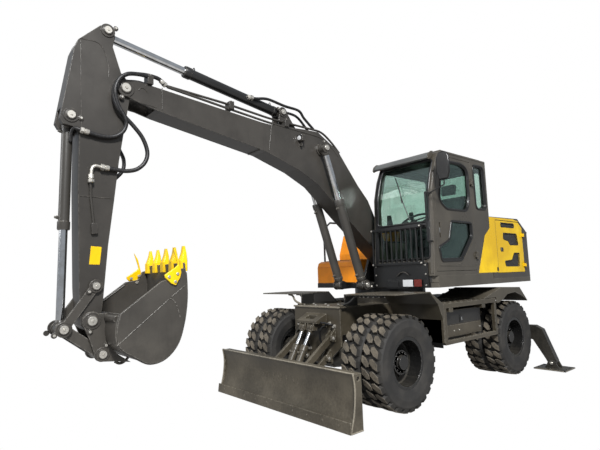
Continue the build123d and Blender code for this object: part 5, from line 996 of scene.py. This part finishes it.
mesh_black, shader = new_material("grille_mesh")
x_wave, z_wave = [Wire.node("TexWave", {"Vector": here(), "Scale": 26.0}, bands_direction=way) for way in "XZ"]
wires = Wire.node("Math", {0: x_wave, 1: z_wave}, operation="MAXIMUM").fade(0.55, 0.85)
plug(shader, Base_Color=blend_colour(wires, rgb(0.004, 0.004, 0.004), rgb(0.05, 0.048, 0.044)),
    Roughness=0.75 - wires * 0.3, Normal=bump(wires, 0.8, 0.005))
grilles = (((-1.516, 2.15), (-1.099, 2.15), (-1.099, 2.212), (-1.516, 2.212)),
    ((-1.161, 2.061), (-1.583, 2.06), (-1.618, 1.891), (-1.352, 1.886), (-1.299, 1.945), (-1.146, 1.971)),
    ((-1.461, 1.766), (-1.628, 1.767), (-1.6, 1.568), (-1.169, 1.573), (-1.151, 1.646), (-1.376, 1.66)))
for side, word in SIDES:
    for number, outline in enumerate(grilles):
        prism("grille_%s_%d" % (word, number), outline, (side * 1.2225, side * 1.23), mesh_black,
            "engine_door_" + word, 0.0)
        tube("grille_rim_%s_%d" % (word, number), level(side * 1.2395, outline), 0.006, satin_black,
            "engine_door_" + word, bend=0.018, closed=True)
    prism("door_flush_latch_" + word, rect(-1.045, -1.13, 1.785, 1.845), (side * 1.224, side * 1.2425), satin_black,
        "engine_door_" + word, 0.003)
    tube("door_latch_grip_" + word, ((-1.065, side * 1.244, 1.8), (-1.065, side * 1.244, 1.832)), 0.006, chrome,
        "engine_door_" + word, bend=0.01)
prism("yellow_sheet_cab", ((-0.372, 1.486), (-0.618, 2.009), (-0.768, 2.117), (-0.768, 2.278), (-0.934, 2.278),
    (-0.934, 1.486)), (1.2385, 1.2425), yellow, "upper", 0.001)
prism("yellow_sheet_joint", ((-0.9345, 1.486), (-0.9345, 2.249), (-0.9415, 2.249), (-0.9415, 1.486)),
    (1.232, 1.241), satin_black, "upper", 0.0)
prism("yellow_sheet_top", ((-0.934, 2.249), (-0.934, 2.278), (-1.5, 2.282), (-1.66, 2.262), (-1.668, 2.249)),
    (1.2385, 1.2425), yellow, "upper", 0.001)
prism("yellow_sheet_latch", rect(-0.89, -0.925, 1.505, 1.56), (1.242, 1.247), satin_black, "upper", 0.002)
for y in (-0.8, -0.4, 0.0, 0.4, 0.8):
    prism("lid_rib_%d" % round(y * 10), ((-1.6, 2.296), (-0.9, 2.296), (-0.915, 2.304), (-1.585, 2.304)),
        (y - 0.02, y + 0.02), hood_brown, "hood_lid", 0.002)
tube("exhaust_pipe", ((-1.7, -0.9, 2.2), (-1.7, -0.9, 2.42), (-1.74, -0.9, 2.5)), 0.045, boom_grey, "upper",
    sides=6)
lathe("exhaust_collar", (-1.7, -0.9, 2.252), (-1.7, -0.9, 2.9),
    ((0.0, 0.075), (0.012, 0.075), (0.018, 0.062), (0.03, 0.05)), hood_brown, "upper", 32)

# ---- Chassis and blade details --------------------------------------------------------------
# Cutting edge, lip, ribs and hoses of the blade, pins of its links, flaps and tube brackets of
# the fenders, treads of the steps, the lockers' lids, axle housings and ring bolts.

locker_face = 1.1345
edge_light = painted("edge_light", (0.22, 0.195, 0.15), gloss=0.42, dust=0.3, streaks=0.2, wear=0.6)
prism("cutting_edge", ((2.243, 0.002), (2.23, 0.11), (2.212, 0.108), (2.222, 0.002)), (-1.236, 1.236), olive,
    "blade", 0.002)
prism("blade_lip", rect(2.146, 2.172, 0.552, 0.562), (-1.236, 1.236), edge_light, "blade", 0.003)
for side, word in SIDES:
    tube("blade_end_bead_" + word, level(side * 1.229, ((2.164, 0.552), (2.136, 0.415), (2.164, 0.17),
        (2.226, 0.004))), 0.009, edge_light, "blade", bend=0.1)
    tube("blade_end_base_" + word, ((2.054, side * 1.234, 0.006), (2.224, side * 1.234, 0.006)), 0.008, edge_light,
        "blade", bend=0.01)
bolts("cutting_edge_bolts", [(2.2335, -1.08 + number * 0.24, 0.06) for number in range(10)], (0.99, 0, 0.12), 0.013,
    0.006, olive, "blade")
for y in (-1.0, -0.62, 0.0, 0.62, 1.0):
    prism("blade_rib_%d" % round(y * 100), ((2.058, 0.046), (2.112, 0.046), (2.098, 0.29), (2.118, 0.536),
        (2.058, 0.536)), (y - 0.006, y + 0.006), olive, "blade", 0.001)
for side, word in SIDES:
    for body, x, z, y in (("chassis", 1.55, 0.76, 0.29), ("chassis", 1.55, 0.51, 0.205),
            ("blade", 2.04, 0.42, 0.29), ("blade", 2.04, 0.17, 0.205)):
        collars, ends = bmesh.new(), bmesh.new()
        for out in (-1, 1):
            face = side * y + out * 0.046
            turned(collars, (x, face - out * 0.002, z), (x, face + out, z),
                ((0.0, 0.04), (0.007, 0.04), (0.009, 0.037), (0.009, 0.026), (0.012, 0.025)), 24)
            turned(ends, (x, face, z), (x, face + out, z), ((0.0, 0.021), (0.015, 0.021), (0.017, 0.018),
                (0.017, 0.006), (0.021, 0.004)), 20)
        tail = "_%s_%s_%d" % (body, word, round(z * 100))
        fasten(collars, "link_collars" + tail, olive, body)
        fasten(ends, "link_pins" + tail, zinc, body)
    # hoses hang from bulkhead unions on the front plate and go back under it
    tube("blade_hose_" + word, ((1.508, side * 0.25, 0.93), (1.56, side * 0.235, 0.915), (1.6, side * 0.17, 0.86),
        (1.585, side * 0.14, 0.76), (1.54, side * 0.135, 0.65), (1.508, side * 0.13, 0.6)), 0.013, hose_rubber,
        "chassis", sides=3)
    tube("blade_hose_top_" + word, ((1.508, side * 0.33, 0.9), (1.57, side * 0.3, 0.93), (1.61, side * 0.15, 0.95),
        (1.59, side * 0.06, 0.965), (1.508, side * 0.05, 0.975)), 0.012, hose_rubber, "chassis", sides=3)
    for y, z in ((0.25, 0.93), (0.13, 0.6), (0.33, 0.9), (0.05, 0.975)):
        lathe("bulkhead_union_%s_%d" % (word, round(z * 1000)), (1.503, side * y, z), (2.0, side * y, z),
            ((0.0, 0.024), (0.01, 0.024), (0.011, 0.019), (0.034, 0.019)), zinc, "chassis", 6)
    # a bent tube props each fender's front corner, and a flap hangs behind the wheel
    tube("fender_prop_" + word, ((1.385, side * 0.7, 1.272), (1.4, side * 0.6, 1.255), (1.42, side * 0.52, 1.19),
        (1.42, side * 0.4, 1.148)), 0.014, edge_light if side < 0 else under_black, "chassis", sides=4)
    prism("fender_prop_foot_" + word, rect(1.38, 1.46, 1.137, 1.152), (side * 0.35, side * 0.425), olive, "chassis",
        0.003)
    prism("mud_flap_" + word, rect(0.54, 0.552, 0.6, 0.94), (side * 0.64, side * 1.21), satin_black, "chassis",
        0.003)
    tube("fender_rim_" + word, level(side * 1.232, ((1.448, 1.284), (0.793, 1.284), (0.634, 1.14), (0.545, 0.94),
        (0.545, 0.668))), 0.008, olive, "chassis", bend=0.03)
    # tread plate: raised studs on the side step, notches on the low rail
    bm = bmesh.new()
    for i in range(20):
        for j in range(6):
            x, y = -0.73 + i * 0.0635, side * (0.76 + j * 0.086 + (i % 2) * 0.03)
            if abs(y) < 1.222:
                nut(bm, (x, y, 1.13), (0, 0, 1), 0.014, 0.003)
    for i in range(22):
        nut(bm, (-0.735 + i * 0.058, side * 1.215, 0.68), (0, 0, 1), 0.012, 0.005, 4)
    fasten(bm, "step_studs_" + word, olive, "chassis", smooth=25.0)
    prism("locker_lower_" + word, rect(-0.514, 0.434, 0.698, 0.838), (side * 1.1305, side * locker_face), olive,
        "chassis", 0.0015)
    # the upper lid lies below 1.33 m, where the deck's finish is black as painted shade
    prism("locker_upper_" + word, rect(-0.514, 0.434, 0.846, 1.012), (side * 1.1305, side * locker_face),
        deck_two_tone_and_shade, "chassis", 0.0015)
    prism("locker_latch_" + word, rect(-0.05, 0.02, 0.858, 0.952), (side * 1.134, side * 1.142), satin_black,
        "chassis")
    tube("locker_latch_grip_" + word, ((-0.015, side * 1.145, 0.885), (-0.015, side * 1.145, 0.925)), 0.007, chrome,
        "chassis", bend=0.01)
    bolts("locker_bolts_" + word, [(x, side * locker_face, 0.765) for x in (-0.48, 0.04, 0.16, 0.4)], (0, side, 0),
        0.01, 0.006, zinc, "chassis")
    for x in (-1.31, 1.27):
        bm = bmesh.new()
        turned(bm, (x, side * 0.1, 0.53), (x, side * 1.0, 0.53),
            ((0.0, 0.18), (0.06, 0.172), (0.15, 0.135), (0.22, 0.11), (0.3, 0.1), (0.42, 0.096)), 32)
        for k in range(14):
            a = 2 * pi * k / 14
            nut(bm, (x + 0.158 * cos(a), side * 0.16, 0.53 + 0.158 * sin(a)), (0, side, 0), 0.012, 0.01)
        fasten(bm, "axle_housing_%s_%s" % ("front" if x > 0 else "rear", word), under_black, "chassis")
round_ring = [2 * pi * (k + 0.5) / 40 for k in range(40)]
bolts("swing_ring_bolts", [(0.541 * cos(a), 0.541 * sin(a), 1.19) for a in round_ring], (0, 0, 1), 0.013, 0.014,
    zinc, "chassis")
prism("front_plate_edge", rect(-0.44, 0.44, 1.118, 1.14), (1.5, 1.52), edge_light, "chassis", across="X")
bolts("front_plate_bolts", [(x, y, 1.136) for y in (-0.36, -0.12, 0.12, 0.36) for x in (1.4, 1.22)], (0, 0, 1),
    0.016, 0.012, zinc, "chassis")

# ---- Outriggers -----------------------------------------------------------------------------
# Bright pins with collars where the legs turn, a grip pattern and a light rim on each foot, and
# a lamp with a red and a clear lens at each side of the rear beam.

for side, word in SIDES:
    for body, y, z, faces, radius in (("chassis", 0.56, 0.56, (-2.089, -1.868), 0.032),
            ("leg_" + word, 1.44, 0.095, (-2.103, -1.951), 0.024), ("leg_" + word, 1.12, 0.585, (-1.889,), 0.024),
            ("chassis", 0.15, 1.06, (-1.889,), 0.024)):
        collars, ends = bmesh.new(), bmesh.new()
        for face in faces:
            out = -1 if face < -2.0 else 1
            turned(collars, (face - out * 0.004, side * y, z), (face + out, side * y, z),
                ((0.0, radius * 1.8), (0.009, radius * 1.8), (0.012, radius * 1.7), (0.012, radius)), 24)
            turned(ends, (face, side * y, z), (face + out, side * y, z),
                ((0.0, radius * 0.95), (0.018, radius * 0.95), (0.021, radius * 0.8), (0.021, radius * 0.3),
                (0.025, radius * 0.2)), 24)
        fasten(collars, "leg_collars_%s_%d" % (word, round(z * 1000)), leg_look, body)
        fasten(ends, "leg_pins_%s_%d" % (word, round(z * 1000)), zinc, body)
    studs = [(-2.177 + i * 0.1, side * (1.24 + j * 0.1), 0.018) for i in range(4) for j in range(5)]
    clear = [(x, y, z) for x, y, z in studs if abs(x + 2.027) > 0.09 or abs(abs(y) - 1.44) > 0.09]
    bolts("foot_studs_" + word, clear, (0, 0, 1), 0.014, 0.006, leg_look, "foot_" + word)
    foot_edge = ((-2.213, side * 1.219, 0.01), (-1.841, side * 1.219, 0.01), (-1.841, side * 1.661, 0.01),
        (-2.213, side * 1.661, 0.01))
    tube("foot_rim_" + word, foot_edge, 0.008, edge_light, "foot_" + word, bend=0.03, closed=True)
    prism("rear_lamp_case_" + word, rect(-2.087, -2.1, 0.7, 0.78), (side * 0.3, side * 0.47), satin_black,
        "chassis")
    prism("rear_lamp_red_" + word, rect(-2.099, -2.106, 0.712, 0.768), (side * 0.312, side * 0.4), red_lens,
        "chassis", 0.002)
    prism("rear_lamp_clear_" + word, rect(-2.099, -2.106, 0.712, 0.768), (side * 0.404, side * 0.458), lens,
        "chassis", 0.002)

# ---- Deck, tank, counterweight and roof -----------------------------------------------------
# Seams, a filler cap, a latch and a grip tread on the side that faces away, bolts, bands and
# lamps on the counterweight, a hatch in the cab's roof and a seal round its rear window.

tank_face = -1.2415
for number, x in enumerate((-0.79, -0.222)):
    tube("tank_seam_%d" % number, ((x, tank_face, 1.41), (x, tank_face, 1.86 if number else 2.24)), 0.004, orange,
        "upper", bend=0.02)
tube("tank_top_seam", level(-1.22, ((-0.78, 2.251), (-0.43, 2.251), (-0.34, 2.201), (-0.228, 1.872))), 0.006,
    orange, "upper", bend=0.03)
lathe("tank_filler_cap", (-0.62, -0.78, 2.249), (-0.62, -0.78, 3.0),
    ((0.0, 0.085), (0.012, 0.085), (0.014, 0.07), (0.02, 0.066), (0.055, 0.066), (0.062, 0.06), (0.064, 0.02)),
    satin_black, "upper", 32)
tube("tool_box_lid_seam", ((-0.205, tank_face, 1.7), (0.292, tank_face, 1.7), (0.322, -1.225, 1.655),
    (0.3215, -0.345, 1.655)), 0.005, orange, "upper", bend=0.02)
prism("tool_box_latch", rect(-0.83, -0.76, 1.61, 1.68), (0.319, 0.33), satin_black, "upper", across="X")
prism("tool_box_grip", rect(-0.2, 0.22, 1.7505, 1.756), (-1.18, -0.4), satin_black, "upper", 0.002)
studs = [(-0.18 + i * 0.035, -1.16 + j * 0.039, 1.756) for i in range(12) for j in range(20)]
bolts("tool_box_grip_studs", studs, (0, 0, 1), 0.008, 0.003, satin_black, "upper")
bm = bmesh.new()
for side in (-1, 1):
    for z in (1.5, 1.95):
        turned(bm, (-2.105, side * 0.86, z), (-2.9, side * 0.86, z),
            ((-0.03, 0.045), (0.0, 0.045), (0.006, 0.04), (0.006, 0.02)), 24)
        nut(bm, (-2.108, side * 0.86, z), (-1, 0, 0), 0.026, 0.02)
fasten(bm, "counterweight_bolts", hood_brown, "upper", smooth=30.0)
rear = ((1.236, -1.95), (1.03, -2.062), (0.62, -2.167), (0.2, -2.202), (-0.2, -2.202), (-0.62, -2.167),
    (-1.03, -2.062), (-1.236, -1.95))
for z, radius in ((1.42, 0.006), (2.092, 0.01)):
    tube("counterweight_band_%d" % round(z * 100), [(x, y, z) for y, x in rear], radius, hood_brown, "upper",
        bend=0.1)
for side, word in SIDES:
    prism("weight_lamp_" + word, rect(side * 0.44, side * 0.58, 1.44, 1.49), (-2.196, -2.18), red_lens, "upper",
        0.003, across="X")
tube("rear_window_seal", ((-0.772, 0.384, 2.404), (-0.772, 1.156, 2.404), (-0.772, 1.156, 2.956),
    (-0.772, 0.384, 2.956)), 0.016, satin_black, "upper", bend=0.07, closed=True)
prism("roof_hatch", rect(-0.56, 0.12, 0.5, 1.04), (3.108, 3.122), cab_brown, "upper", 0.01, across="Z")
tube("roof_hatch_grip", ((0.02, 0.68, 3.118), (0.02, 0.68, 3.142), (0.02, 0.86, 3.142), (0.02, 0.86, 3.118)), 0.008,
    satin_black, "upper", bend=0.02)
prism("hood_vent", rect(-1.5, -1.02, -0.62, 0.2), (2.297, 2.302), mesh_black, "hood_lid", 0.001, across="Z")
tube("lid_grip", ((-1.585, -0.12, 2.298), (-1.585, -0.12, 2.312), (-1.585, 0.12, 2.312), (-1.585, 0.12, 2.298)),
    0.007, satin_black, "hood_lid", bend=0.012)
lathe("boom_lamp_lens", (1.835, 0.166, 3.264), (2.5, 0.166, 3.264),
    ((0.0, 0.03), (0.006, 0.03), (0.01, 0.026), (0.012, 0.015)), lens, "boom", 28)
prism("boom_lamp_hood", ((1.775, 3.262), (1.83, 3.262), (1.842, 3.306), (1.775, 3.306)), (0.122, 0.212),
    satin_black, "boom", 0.008)
